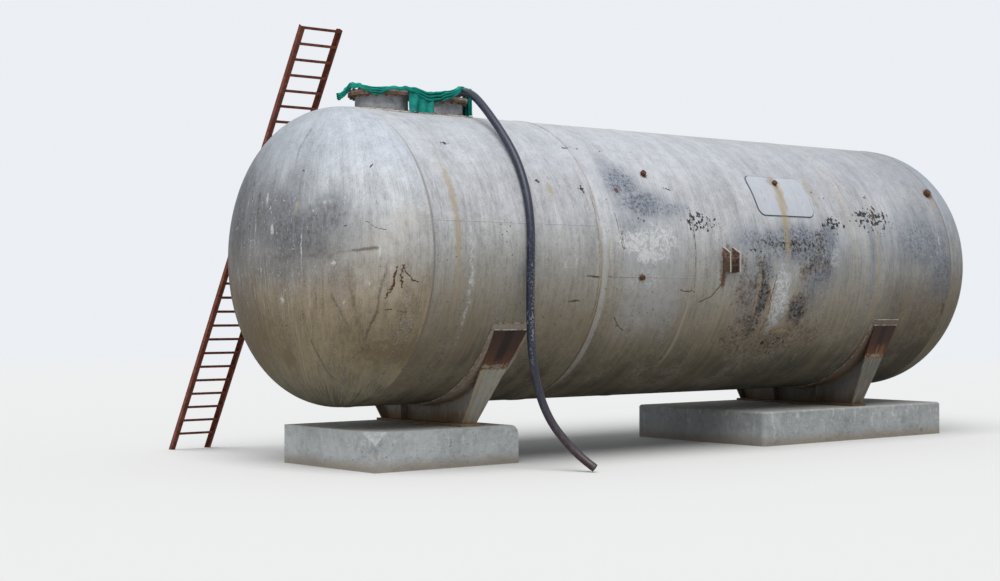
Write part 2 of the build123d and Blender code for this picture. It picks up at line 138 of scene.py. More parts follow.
class Flow:
    """A value on its way through a material; +, -, * and / on it add Math nodes."""

    def __init__(self, tree, socket):
        self.tree = tree
        self.socket = socket

    def node(self, kind, settings=None, output=0, **inputs):
        """Add a node: first its settings, then its inputs. A name like i6 is the socket's number."""
        made = self.tree.nodes.new(kind)
        for name, value in (settings or {}).items():
            setattr(made, name, value)
        for name, value in inputs.items():
            number = name[0] == "i" and name[1:].isdigit()
            socket = made.inputs[int(name[1:])] if number else made.inputs[name.replace("_", " ")]
            if isinstance(value, Flow):
                value.feed(socket)
            elif isinstance(value, tuple) and len(value) == 3 and socket.type == "RGBA":
                socket.default_value = (*value, 1.0)
            else:
                socket.default_value = value
        return Flow(self.tree, made.outputs[output])

    def feed(self, socket):
        """Link this value to a socket."""
        self.tree.links.new(self.socket, socket)

    def math(self, operation, *others):
        """A Math node on this value and others."""
        values = dict(zip(("i0", "i1", "i2"), (self, *others)))
        return self.node("ShaderNodeMath", {"operation": operation}, **values)

    def __add__(self, other):
        return self.math("ADD", other)

    __radd__ = __add__

    def __sub__(self, other):
        return self.math("SUBTRACT", other)

    def __rsub__(self, other):
        return (self * -1.0).math("ADD", other)

    def __mul__(self, other):
        return self.math("MULTIPLY", other)

    __rmul__ = __mul__

    def __truediv__(self, other):
        return self.math("DIVIDE", other)

    def __abs__(self):
        return self.math("ABSOLUTE")

    def most(self, other):
        """The larger of two values."""
        return self.math("MAXIMUM", other)

    def least(self, other):
        """The smaller of two values."""
        return self.math("MINIMUM", other)

    def ease(self, low, high, start=0.0, end=1.0):
        """A smooth step from start, at low, to end, at high; low may be above high."""
        ranges = {"i1": low, "i2": high, "i3": start, "i4": end}
        settings = {"interpolation_type": "SMOOTHSTEP", "clamp": False}
        return self.node("ShaderNodeMapRange", settings, Value=self, **ranges)

    def within(self, low, high, soft):
        """1 between low and high, with soft edges outside them."""
        return self.ease(low - soft, low + soft) * self.ease(high + soft, high - soft)

    def axis(self, number):
        """One of a vector's three values."""
        return self.node("ShaderNodeSeparateXYZ", None, number, Vector=self)

    def ragged(self, noise, bite=0.8, low=0.36, high=0.62):
        """A mask whose edge is eaten by a noise: the noise is added first and the sum is cut off."""
        return (self + (noise - 0.5) * bite).ease(low, high) * self.ease(0.02, 0.30)

    def vector(self, operation, *others, output=0):
        """A Vector Math node; output 1 is its single value, such as a length."""
        values = dict(zip(("i0", "i1", "i2"), (self, *others)))
        return self.node("ShaderNodeVectorMath", {"operation": operation}, output, **values)

    def part(self, number):
        """One of a colour's three values."""
        return self.node("ShaderNodeSeparateColor", None, number, Color=self)

    def moved(self, jitter, amount):
        """A place shifted by a vector times an amount for each axis."""
        return self.vector("ADD", jitter.vector("MULTIPLY", amount))

    def noise(self, scale, detail, roughness, output=0):
        """Noise around a half at this place; output 1 is a colour with a noise in each part."""
        values = {"Scale": scale, "Detail": detail, "Roughness": roughness}
        return self.node("ShaderNodeTexNoise", None, output, Vector=self, **values)

    def cells(self, scale, output=0):
        """Distance to the nearest of many scattered points; output 1 is a colour for each of them."""
        return self.node("ShaderNodeTexVoronoi", None, output, Vector=self, Scale=scale)

    def mix(self, other, factor, blend="MIX"):
        """A colour mixed with another one, as far as the factor says."""
        settings = {"data_type": "RGBA", "blend_type": blend}
        return self.node("ShaderNodeMix", settings, 2, i0=factor, i6=self, i7=other)

    def shaded(self, value):
        """A colour made darker or lighter by a value."""
        grey = value.node("ShaderNodeCombineColor", Red=value, Green=value, Blue=value)
        return self.mix(grey, 1.0, "MULTIPLY")

    def jitter(self, scale, detail, roughness):
        """Two values around nothing, as a vector that moves a plane's points here and there."""
        colours = self.noise(scale, detail, roughness, output=1)
        return combine(*[colours.part(number) - 0.5 for number in (0, 1)])

    def ramp(self, stops):
        """Colours along a value, from stops of place and colour."""
        made = self.node("ShaderNodeValToRGB", Fac=self)
        elements = made.socket.node.color_ramp.elements
        elements[0].position, elements[0].color = stops[0][0], (*stops[0][1], 1.0)
        elements[1].position, elements[1].color = stops[-1][0], (*stops[-1][1], 1.0)
        for place, colour in stops[1:-1]:
            elements.new(place).color = (*colour, 1.0)
        return made

    def over(self, low, high, rows):
        """Colours along a value that runs from low to high, from rows of that value and a colour."""
        value = self - low if low else self
        return (value / (high - low)).ramp([((at - low) / (high - low), colour) for at, colour in rows])

    def strokes(self, table, soft=0.6, tall=1.0):
        """Straight marks on a plane: 1 within half a width of the line between two points, fading beyond it.

        tall turns the table's second measure into the first one's, such as degrees into metres."""
        found = None
        for u0, v0, u1, v1, half_width, strength in table:
            start = (u0, v0 * tall, 0.0)
            run = (u1 - u0, (v1 - v0) * tall, 0.0)
            square = run[0] ** 2 + run[1] ** 2
            reach = self.vector("SUBTRACT", start)
            share = (reach.vector("DOT_PRODUCT", run, output=1) / square).most(0.0).least(1.0)
            nearest = share.node("ShaderNodeVectorMath", {"operation": "SCALE"}, i0=run, Scale=share)
            distance = reach.vector("SUBTRACT", nearest).vector("LENGTH", output=1)
            mark = distance.ease(half_width * (1 + soft), half_width * (1 - soft), 0.0, strength)
            found = mark if found is None else found.most(mark)
        return found

    def blots(self, table, soft=0.4):
        """Ovals on a plane of two values, from rows of centre, half sizes and strength; the strongest wins.

        A point's distance from a centre is measured in half sizes, so 1 is the oval's edge."""
        found = None
        for u, v, half_u, half_v, strength in table:
            scale = (1 / half_u, 1 / half_v, 0.0)
            shift = (-u / half_u, -v / half_v, 0.0)
            distance = self.vector("MULTIPLY_ADD", scale, shift).vector("LENGTH", output=1)
            spot = distance.ease(1 + soft, 1 - soft, 0.0, strength)
            found = spot if found is None else found.most(spot)
        return found


def new_finish(name):
    """A material, its shader, and the piece's own coordinates in metres."""
    material = bpy.data.materials.new(name)
    material.use_nodes = True
    tree = material.node_tree
    coordinates = tree.nodes.new("ShaderNodeTexCoord")
    return material, tree.nodes["Principled BSDF"], Flow(tree, coordinates.outputs["Object"])


def finish(shader, colour, roughness, height=None, distance=0.0035, gloss=0.2):
    """Feed a shader. A height goes through a Bump node, and a plain number is set on the shader's socket."""
    shader.inputs["Specular IOR Level"].default_value = gloss
    colour.feed(shader.inputs["Base Color"])
    if isinstance(roughness, Flow):
        roughness.feed(shader.inputs["Roughness"])
    else:
        shader.inputs["Roughness"].default_value = roughness
    if height is not None:
        bump = height.node("ShaderNodeBump", Height=height, Distance=distance, Strength=1.0)
        bump.feed(shader.inputs["Normal"])


def dress(material, *names):
    """Put a material on CAD nodes or new pieces."""
    for name in names:
        slots = bpy.data.objects[name].data.materials
        slots.clear()
        slots.append(material)
    print(material.name, "has", len(material.node_tree.nodes), "nodes and is on", ", ".join(names))


# %% [markdown]
# A photographer's floor is pale and plain. It keeps the tank's shadow and fades out far off, where the
# world's pale backdrop shows. The camera and reflections see that backdrop at full strength, but it lights
# the tank with a softer one. A Light Path node tells these rays apart.

# %% The floor and the backdrop
floor_half = 90.0
floor_mesh = bpy.data.meshes.new("studio_floor")
floor_corners = [(x * floor_half, y * floor_half, 0) for x, y in ((-1, -1), (1, -1), (1, 1), (-1, 1))]
floor_mesh.from_pydata(floor_corners, [], [(0, 1, 2, 3)])
floor = bpy.data.objects.new("studio_floor", floor_mesh)
bpy.context.scene.collection.objects.link(floor)
floor_paint, floor_shader, place = new_finish("studio_floor")
floor_mesh.materials.append(floor_paint)
seen = place.node("ShaderNodeLightPath", None, "Is Camera Ray")
settings = {"data_type": "RGBA"}
tone = seen.node("ShaderNodeMix", settings, 2, i0=seen, i6=(0.40, 0.39, 0.37), i7=(0.70, 0.70, 0.69))
finish(floor_shader, tone, 0.95, gloss=0.0)
far_off = place.vector("LENGTH", output=1).ease(12.0, 55.0) * seen
solid = Flow(floor_paint.node_tree, floor_shader.outputs[0])
clear = place.node("ShaderNodeBsdfTransparent")
blend = far_off.node("ShaderNodeMixShader", i0=far_off, i1=solid, i2=clear)
blend.feed(floor_paint.node_tree.nodes["Material Output"].inputs["Surface"])

world = bpy.data.worlds.new("studio")
world.use_nodes = True
bpy.context.scene.world = world
background = world.node_tree.nodes["Background"]
background.inputs["Color"].default_value = (0.93, 0.96, 1.0, 1)
rays = Flow(world.node_tree, None)
mirrored = rays.node("ShaderNodeLightPath", None, "Is Glossy Ray")
seen = rays.node("ShaderNodeLightPath", None, "Is Camera Ray").most(mirrored)
strength = seen.node("ShaderNodeMapRange", Value=seen, To_Min=0.45, To_Max=0.9)
strength.feed(background.inputs["Strength"])
print("the floor is", 2 * floor_half, "m wide")

# %% [markdown]
# One broad lamp stands for the bright hazy sky. It is a sun with a wide disc, so its shadows are soft.

# %% The lamp
lamp_data = bpy.data.lights.new("hazy_sky", "SUN")
lamp_data.energy = 2.9
lamp_data.angle = radians(50)
lamp = bpy.data.objects.new("hazy_sky", lamp_data)
lamp_direction = (0.38, 0.35, -0.90)
lamp.rotation_euler = Vector(lamp_direction).to_track_quat("-Z", "Y").to_euler()
bpy.context.scene.collection.objects.link(lamp)
bpy.context.scene.view_settings.view_transform = "Standard"
print("the lamp shines from", np.round(-Vector(lamp_direction), 2))

# %% [markdown]
# Everything that is new here is a surface worked out on a grid of two parameters: rows run along a piece
# and columns run round it. One helper turns such a grid of points into a mesh. It joins neighbours with
# four-sided faces, and closes the ends with caps where the piece is solid.

# %% From a grid of points to a piece
def grid_faces(rows, columns, around=True, start=0):
    """Four-sided faces between neighbours of a grid; around joins the last column to the first."""
    across = columns if around else columns - 1
    row, column = np.meshgrid(np.arange(rows - 1), np.arange(across), indexing="ij")
    following = (column + 1) % columns
    a = row * columns + column
    b = row * columns + following
    faces = np.stack([a, b, b + columns, a + columns], axis=-1).reshape(-1, 4)
    return faces + start


def piece_from(name, points, faces, smooth=True):
    """Make a mesh piece from points and lists of faces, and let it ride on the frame."""
    mesh = bpy.data.meshes.new(name)
    mesh.from_pydata(np.asarray(points).reshape(-1, 3).tolist(), [], [list(face) for face in faces])
    mesh.update()
    mesh.polygons.foreach_set("use_smooth", np.full(len(mesh.polygons), smooth))
    piece = bpy.data.objects.new(name, mesh)
    bpy.context.scene.collection.objects.link(piece)
    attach(piece, "root")
    return piece


def tubes(rings):
    """Many closed tubes at once, from an array of tubes x rows x columns x 3; both ends are capped."""
    count, rows, columns, _ = rings.shape
    faces = []
    for tube in range(count):
        start = tube * rows * columns
        faces.extend(grid_faces(rows, columns, True, start).tolist())
        faces.append(list(range(start + columns - 1, start - 1, -1)))
        faces.append(list(range(start + (rows - 1) * columns, start + rows * columns)))
    return rings.reshape(-1, 3), faces


def joined(parts):
    """One list of points and one of faces from several parts, whose faces count on from the points before."""
    points, faces, count = [], [], 0
    for part_points, part_faces in parts:
        faces += [[corner + count for corner in face] for face in part_faces]
        points.append(part_points)
        count += len(part_points)
    return np.concatenate(points), faces


# %% [markdown]
# The green net is one long strip of woven shade cloth. It is pulled together into a rope of folds where it
# lies on the rims, and opens where it hangs free. Gathered cloth keeps its width: only its folds get
# deeper. So each cross section is a meander, a line of fixed length whose direction swings like a sine from
# side to side. The stronger the swing, the shorter the section's reach, and the swing is chosen from the
# height that the net has at that place.

# %% The net's route
net_width = 0.36
net_folds = 3
net_thickness = 0.003
net_route = np.array((
    # x, y, z of the strip's upper edge, and how far it reaches from there
    (-1.1, 0.09, 3.812, 0.066), (-1.03, 0.09, 3.835, 0.062), (-0.975, 0.105, 3.89, 0.056),
    (-0.956, 0.06, 3.934, 0.06), (-0.96, -0.01, 3.92, 0.044), (-0.944, -0.108, 3.898, 0.036),
    (-0.91, -0.184, 3.878, 0.042), (-0.872, -0.238, 3.867, 0.078), (-0.828, -0.281, 3.866, 0.074),
    (-0.776, -0.314, 3.87, 0.036), (-0.718, -0.338, 3.87, 0.022), (-0.63, -0.356, 3.874, 0.022),
    (-0.536, -0.352, 3.876, 0.027), (-0.447, -0.345, 3.876, 0.048), (-0.36, -0.337, 3.864, 0.086),
    (-0.229, -0.335, 3.849, 0.102), (-0.093, -0.33, 3.869, 0.1), (0.043, -0.31, 3.887, 0.08),
    (0.174, -0.27, 3.921, 0.055), (0.273, -0.205, 3.962, 0.06), (0.365, -0.11, 3.968, 0.1),
    (0.445, -0.03, 3.945, 0.135), (0.47, -0.012, 3.87, 0.14), (0.471, -0.01, 3.77, 0.145),
    (0.469, -0.01, 3.672, 0.155),
))
# for each row, how far the reach has turned from straight down to towards the front
net_turn = np.array([0.0] * 18 + [0.12, 0.35, 0.75, 1.0, 1.0, 1.0, 1.0])


def unit(vectors):
    """The same directions, each of length 1."""
    return vectors / np.linalg.norm(vectors, axis=-1, keepdims=True)


def resample(values, count):
    """Smooth values at evenly spread places: a Catmull-Rom curve through the given rows."""
    padded = np.concatenate([values[:1] * 2 - values[1:2], values, values[-1:] * 2 - values[-2:-1]])
    place = np.linspace(0, len(values) - 1, count)
    step = np.minimum(place.astype(int), len(values) - 2)
    t = (place - step)[:, None]
    p0, p1, p2, p3 = padded[step], padded[step + 1], padded[step + 2], padded[step + 3]
    bend = (2 * p0 - 5 * p1 + 4 * p2 - p3) * t**2
    return 0.5 * (2 * p1 + (p2 - p0) * t + bend + (3 * p1 - p0 - 3 * p2 + p3) * t**3)


def meander(swing, folds, phase, fractions):
    """Across and depth of a line of length 1 whose direction is swing * sin(2 pi folds v + phase)."""
    direction = swing[:, None] * np.sin(2 * pi * folds * fractions[None, :] + phase[:, None])
    step = fractions[1] - fractions[0]
    across = np.cumsum(np.cos(direction), axis=1) * step
    depth = np.cumsum(np.sin(direction), axis=1) * step
    return across - across[:, :1], depth - depth.mean(axis=1, keepdims=True)


def swing_for(share):
    """The swing whose meander reaches the given share of its length, looked up in a table."""
    swings = np.linspace(0.0, 2.3, 200)
    turn = np.linspace(0, 2 * pi, 400, endpoint=False)
    reach = np.cos(swings[:, None] * np.sin(turn)[None, :]).mean(axis=1)
    return np.interp(-share, -reach, swings)


def cloth(piece):
    """Give a piece of net its thickness, half of it on each side of the surface."""
    thick = piece.modifiers.new("cloth", "SOLIDIFY")
    thick.thickness = net_thickness
    thick.offset = 0


# %% The net
net_rows, net_columns = 380, 125
line = resample(net_route, net_rows)
turned = np.clip(resample(net_turn[:, None], net_rows), 0, 1)
ahead = unit(np.gradient(line[:, :3], axis=0))
reaches = (1 - turned) * np.array((0.0, 0.0, -1.0)) + turned * np.array((0.0, -1.0, 0.0))
reaches -= (reaches * ahead).sum(axis=1, keepdims=True) * ahead * 0.5
reaches = unit(reaches)
outward = unit(np.cross(ahead, reaches))
along = np.linspace(0, 1, net_rows)
# the folds wander along the strip
phase = 1.3 * np.sin(19 * along) + 2.1 * np.sin(7.3 * along + 1) + 0.8 * np.sin(47 * along)
fractions = np.linspace(0, 1, net_columns)
swing = swing_for(np.clip(line[:, 3] / net_width, 0.02, 0.98))
across, depth = meander(swing, net_folds, phase, fractions)
fold_scale = np.interp(line[:, 3], (0.02, 0.08, 0.15), (0.55, 0.8, 0.6))[:, None]
section = across[..., None] * reaches[:, None] + (depth * fold_scale)[..., None] * outward[:, None]
net_points = line[:, None, :3] + net_width * section
net = piece_from("green_net", net_points, grid_faces(net_rows, net_columns, False))
cloth(net)
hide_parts("netting_bundle", "netting_end_panel", "netting_tail")

# %% [markdown]
# A second, open flap of the same net hangs under the swag, between the two manways. It is a curtain:
# straight along its top, with a few soft folds that grow towards its lower edge.

# %% The hanging flap
flap_low = np.array((-0.508, -0.353, 3.635))
flap_size = (0.315, 0.228)
flap_rows, flap_columns = 50, 80
flap_fold = 0.012
down, along = np.meshgrid(np.linspace(0, 1, flap_rows), np.linspace(0, 1, flap_columns), indexing="ij")
wave = flap_fold * (0.25 + down) * np.sin(2 * pi * (2.6 * along + 0.25 * down))
wave += flap_fold / 2 * np.sin(9 * along + 4 * down)
slump = flap_fold * np.sin(pi * along) * (1 - down)
flap_points = np.stack(
    [
        flap_low[0] + flap_size[0] * along + flap_fold * (down - 0.5) * (1 - 2 * along),
        flap_low[1] + 0.03 * along * (1 - down) + wave,
        flap_low[2] + flap_size[1] * (1 - down) - slump,
    ],
    axis=-1,
)
flap = piece_from("net_flap", flap_points, grid_faces(flap_rows, flap_columns, False))
cloth(flap)
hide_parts("netting_side_panel")
print("the flap hangs from", round(flap_low[2] + flap_size[1], 3), "down to", flap_low[2])

# %% [markdown]
# The covers are bolted down. A bolt here is a hexagon head on a round washer above the cover and a nut
# below the flange. All bolts of one manway are one piece: the profile of one head, a list of radii and
# heights, is carried round its axis and copied to each place on the bolt circle as whole arrays.

# %% The manway bolts
bolt_columns = 24


def turned_rings(profile, centres, top, turns):
    """Rings for many copies of a turned piece. The profile's rows are radius, height and how six-sided it is.

    A hexagon's edge reaches cos 30 / cos of the angle from its side's middle, as a share of its corner's."""
    profile = np.asarray(profile)
    angle = np.linspace(0, 2 * pi, bolt_columns, endpoint=False)
    hexagon = cos(pi / 6) / np.cos(angle % (pi / 3) - pi / 6)
    shape = (1 - profile[:, 2:]) + profile[:, 2:] * hexagon
    reach = profile[:, :1] * shape
    angles = angle[None, None, :] + np.asarray(turns)[:, None, None]
    x = np.asarray(centres)[:, 0, None, None] + reach[None] * np.cos(angles)
    y = np.asarray(centres)[:, 1, None, None] + reach[None] * np.sin(angles)
    z = np.broadcast_to(top + profile[None, :, 1:2], x.shape)
    return np.stack([x, y, z], axis=-1)


head_profile = (
    (0.0185, 0.0002, 0.0), (0.0185, 0.003, 0.0), (0.0172, 0.0032, 1.0), (0.0172, 0.0135, 1.0),
    (0.016, 0.0155, 1.0), (0.014, 0.0158, 0.3),
)
nut_profile = (
    (0.0098, -0.022, 0.0), (0.011, -0.02, 0.0), (0.011, -0.0185, 0.0), (0.016, -0.0183, 1.0),
    (0.0172, -0.0165, 1.0), (0.0172, -0.0035, 1.0), (0.0185, -0.0033, 0.0), (0.0185, -0.0002, 0.0),
)
nut_turn = 0.4
# rows are the nodes' first name, the bolt circle's radius and the number of bolts
manways = (("manway_1", 0.320, 20), ("manway_2", 0.252, 16))
bolt_rng = np.random.default_rng(7)
for name, circle, count in manways:
    low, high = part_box(name + "_cover")
    middle = ((low.x + high.x) / 2, (low.y + high.y) / 2)
    flange_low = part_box(name + "_flange")[0].z
    places = (np.arange(count) + 0.5) * 2 * pi / count
    centres = np.stack([middle[0] + circle * np.cos(places), middle[1] + circle * np.sin(places)], axis=-1)
    turns = bolt_rng.uniform(0, pi / 3, count)
    heads = turned_rings(head_profile, centres, high.z, turns)
    nuts = turned_rings(nut_profile, centres, flange_low, turns + nut_turn)
    points, faces = joined([tubes(heads), tubes(nuts)])
    piece_from(name + "_bolts", points, faces, smooth=False)
    print(name, "has", count, "bolts on a circle of", circle, "m radius")

# %% [markdown]
# A weld bead is a thin tube that lies half sunk along a line. Round each point of the line goes a ring, in
# the plane across the line, and its radius grows and shrinks a little as the welder's hand did:
#
# r = r0 (1 + 0.10 sin(2 pi d / 0.031) + 0.08 sin(2 pi d / 0.093 + phase)), where d is the length so far.
#
# The courses are closed by a weld along the tank, and the necks, their pads and the saddles are welded
# round their edges.

# %% The weld beads
bead_columns = 8
bead_step = 0.008
course_bead, neck_bead, plate_bead, horn_bead, edge_bead = 0.0048, 0.0075, 0.0065, 0.0070, 0.0050


def bead_rings(path, radius):
    """Rings of a bead along a path on the tank; each ring starts away from the tank's axis."""
    path = np.asarray(path, dtype=float)
    forward = np.gradient(path, axis=0)
    steps = np.linalg.norm(forward, axis=1, keepdims=True)
    forward = forward / steps
    out = path * (0.0, 1.0, 1.0) - (0.0, 0.0, axis_height)
    out = unit(out - forward * np.sum(out * forward, axis=1, keepdims=True))
    sideways = np.cross(forward, out)
    length = np.cumsum(steps, axis=0)
    swell = 1 + 0.10 * np.sin(2 * pi * length / 0.031)
    swell = swell + 0.08 * np.sin(2 * pi * length / 0.093 + path[:1, :1] * 9)
    angle = np.linspace(0, 2 * pi, bead_columns, endpoint=False)[None, :, None]
    ring = np.cos(angle) * out[:, None, :] + np.sin(angle) * sideways[:, None, :]
    return path[:, None, :] + ring * (radius * swell)[:, :, None]


def beads(name, lines):
    """One piece from many beads, each a path and a radius."""
    points, faces = joined([tubes(bead_rings(path, radius)[None]) for path, radius in lines])
    piece_from(name, points, faces)
    print(name, "has", len(lines), "beads and", len(faces), "faces")


def shell_line(start, end, lift):
    """A path over the shell between two places, each a distance from the near tangent line and an angle.

    The angle is 0 at level on the front side and grows upward, so y = -(R + lift) cos(angle) and
    z = axis + (R + lift) sin(angle). The lift is how far the path lies off the shell."""
    run = max(abs(end[0] - start[0]), radians(abs(end[1] - start[1])) * tank_radius)
    share = np.linspace(0, 1, max(2, int(run / bead_step)))
    place = start[0] + (end[0] - start[0]) * share
    angle = np.radians(start[1] + (end[1] - start[1]) * share)
    reach = tank_radius + lift
    y, z = -reach * np.cos(angle), axis_height + reach * np.sin(angle)
    return np.stack([near_tangent + place, y, z], axis=-1)


def ring_on_tank(centre, radius, lift):
    """Where an upright cylinder meets a level one: z = axis + sqrt((R + lift)^2 - (r sin a)^2)."""
    angle = np.linspace(0, 2 * pi, int(2 * pi * radius / bead_step))
    y = radius * np.sin(angle)
    rise = np.sqrt((tank_radius + lift) ** 2 - y ** 2)
    return np.stack([centre + radius * np.cos(angle), y, axis_height + rise], axis=-1)


# rows are a course's ends and its weld's angle; an angle over 90 is on the back
course_welds = ((0.065, 2.236, 12.5), (2.35, 3.642, -7.3), (3.656, 6.29, 152.0), (6.306, 8.224, 164.0))
shell_beads = []
for low, high, angle in course_welds:
    shell_beads.append((shell_line((low, angle), (high, angle), -0.0025), course_bead))
neck_beads = []
for name in ("manway_1", "manway_2"):
    neck_low, neck_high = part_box(name + "_neck")
    pad_low, pad_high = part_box(name + "_pad")
    middle = (neck_low.x + neck_high.x) / 2
    neck_radius, pad_radius = (neck_high.x - neck_low.x) / 2, (pad_high.x - pad_low.x) / 2
    # the neck's weld lies on the pad, and the pad's on the shell
    for radius, lift in ((neck_radius + 0.002, 0.011), (pad_radius + 0.001, 0.003)):
        neck_beads.append((ring_on_tank(middle, radius, lift), neck_bead))
saddle_beads = []
for name in ("near_saddle", "far_saddle"):
    low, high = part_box(name + "_wear_plate")
    start, end = low.x - near_tangent, high.x - near_tangent
    # over each end of the wear plate, and just below it where a horn meets the plate
    for angle, tip in ((-26.0, -28.5), (-154.0, -151.5)):
        saddle_beads.append((shell_line((start, angle), (end, angle), 0.002), plate_bead))
        saddle_beads.append((shell_line((start + 0.025, tip), (end - 0.025, tip), 0.017), horn_bead))
    for edge in (start - 0.001, end + 0.001):
        saddle_beads.append((shell_line((edge, -26.5), (edge, -153.5), 0.002), edge_bead))
beads("shell_welds", shell_beads)
beads("neck_welds", neck_beads)
beads("saddle_welds", saddle_beads)

# %% [markdown]
# The tank was painted a light grey long ago. Rain has washed its top, dirt and rust have run down its side,
# and its belly is dark brown. So the paint is first a ramp of colours over the height, measured as the
# angle above level, shifted here and there by noise so that no line is straight. Its darkening towards the
# belly is partly that brown dirt and partly painted shade under the tank. Then come what the years added,
# each on its own mask: streaks, mottling, soot, pale bloom, ochre runs and rust. Noise makes what is
# everywhere. What has its own place, such as a run below a fitting, is an oval on the plane of distance and
# angle.

# %% Colours and places of the shell's stains
# the dark stops below level are partly brown dirt and partly painted shade under the tank
PAINT_BY_ANGLE = (
    (-90, (0.08, 0.07, 0.055)), (-65, (0.095, 0.085, 0.065)), (-55, (0.075, 0.07, 0.05)),
    (-45, (0.108, 0.099, 0.07)), (-35, (0.22, 0.192, 0.14)), (-25, (0.325, 0.29, 0.23)),
    (-15, (0.38, 0.355, 0.31)), (-7, (0.395, 0.385, 0.36)), (0, (0.41, 0.41, 0.405)),
    (7, (0.45, 0.46, 0.465)), (15, (0.49, 0.5, 0.52)), (35, (0.5, 0.51, 0.54)), (45, (0.49, 0.505, 0.54)),
    (60, (0.48, 0.5, 0.535)), (75, (0.46, 0.475, 0.495)), (90, (0.44, 0.455, 0.47)),
)
# rows are distance from the near tangent line, angle, half sizes in metres and degrees, and strength
SOOT = (
    (2.74, 32, 0.24, 9, 0.85), (2.95, 23, 0.36, 6, 0.85), (3.35, 21, 0.24, 3.5, 0.6), (2.62, 42, 0.1, 4, 0.5),
    (2.75, 14, 0.25, 5, 0.45), (4.55, 9, 0.25, 6, 0.6), (4.95, 9, 0.4, 5, 0.8), (5.4, 8, 0.48, 8, 1.0),
    (5.72, 2, 0.26, 12, 1.0), (5.92, 11, 0.18, 8, 0.75), (4.8, -2, 0.1, 6, 0.8), (4.55, -10, 0.16, 14, 0.5),
    (5.6, -10, 0.14, 10, 0.6), (7.7, 11, 0.6, 13, 0.6), (8.1, -2, 0.3, 12, 0.6), (7.2, 10, 0.4, 12, 0.25),
    (6.7, 5, 0.035, 50, 0.35), (6.95, 8, 0.03, 40, 0.3), (1.15, -6, 0.07, 4, 0.4), (6.05, 2, 0.2, 9, 0.35),
)
CHAR = (
    (4.72, -6, 0.11, 7, 0.8), (4.78, -16, 0.12, 9, 0.95), (4.7, -27, 0.2, 5, 0.75),
    (5.46, -22, 0.16, 7, 0.95), (5.66, 0, 0.22, 6, 0.8), (5.3, 7, 0.25, 4, 0.7), (4.72, 8, 0.15, 4, 0.5),
    (5.75, 9, 0.15, 5, 0.7), (4.16, -2, 0.1, 6.5, 0.7), (4.45, -15, 0.16, 9, 0.5), (4.55, -36, 0.3, 5, 0.55),
    (5.25, -37, 0.4, 5, 0.5), (5.05, 5, 0.25, 4, 0.55), (4.4, -1, 0.12, 8, 0.5), (5.75, -32, 0.3, 6, 0.45),
    (2.56, 10, 0.03, 8, 0.5),
)
BLOOM = (
    (2.95, 1.5, 0.28, 3.2, 1.0), (2.75, 6, 0.24, 5, 0.9), (3.1, 8, 0.3, 6, 0.75), (2.9, -8, 0.3, 7, 0.4),
    (3.0, -17, 0.4, 8, 0.15), (2.305, 9, 0.032, 4.5, 1.0), (0.53, -8, 0.03, 24, 0.5),
    (2.85, -25, 0.2, 8, 0.25), (5.08, -15, 0.16, 13, 0.75), (2.3, 27, 0.03, 3.5, 0.5),
    (8.05, 12, 0.02, 1.5, 0.8), (6.0, 2, 0.1, 5, 0.4), (0.75, 40, 0.12, 5, 0.5), (1.75, -3, 0.05, 3, 0.4),
    (1.0, 5, 0.06, 7, 0.35), (0.7, 12, 0.05, 3, 0.4), (1.9, -1, 0.03, 4, 0.4),
)
OCHRE = (
    (0.36, 13, 0.045, 25, 0.8), (0.38, -12, 0.05, 10, 0.5), (1.67, 27, 0.045, 4, 0.7),
    (5.26, 31, 0.055, 8, 1.2), (5.2, 20, 0.05, 9, 1.1), (5.18, 8, 0.05, 9, 0.8), (5.85, 33, 0.07, 11, 0.5),
    (8.19, 31, 0.06, 3, 0.7), (2.27, 40, 0.05, 2.5, 0.5), (6.83, -5, 0.02, 38, 0.7),
    (6.325, 32, 0.012, 48, 0.5), (6.42, 34, 0.014, 44, 0.5), (7.45, -24, 0.09, 14, 0.35),
    (3.92, -13, 0.13, 2.5, 0.4), (4.9, -22, 0.03, 9, 0.8), (4.7, -16, 0.03, 10, 0.7),
    (5.28, -31, 0.18, 1.5, 0.8), (6.25, -16, 0.03, 1.5, 0.7), (2.235, 3, 0.012, 20, 0.9),
    (1.75, 8, 0.02, 14, 0.4), (6.36, 30, 0.02, 30, 0.5), (2.36, -5, 0.012, 14, 0.7),
    (0.25, -17, 0.04, 5, 0.4), (6.2, 42, 0.02, 12, 0.4),
)
RUST = (
    (3.15, 36.6, 0.045, 1.6, 1.0), (5.25, 37.2, 0.1, 2.0, 1.0), (8.19, 36.9, 0.08, 2.6, 1.0),
    (2.63, 28, 0.03, 1.3, 0.9), (2.17, -7.4, 0.07, 0.5, 0.9), (2.84, -7.5, 0.05, 1.2, 0.9),
    (4.16, 0, 0.1, 5.5, 0.8), (4.1, -8, 0.035, 4, 0.8), (1.92, -17, 0.06, 0.5, 0.8), (8.2, -20, 0.03, 3, 0.6),
    (5.22, 39.6, 0.1, 0.5, 0.8), (3.65, 8, 0.012, 9, 0.5), (5.262, 34.0, 0.022, 3.2, 0.8),
)
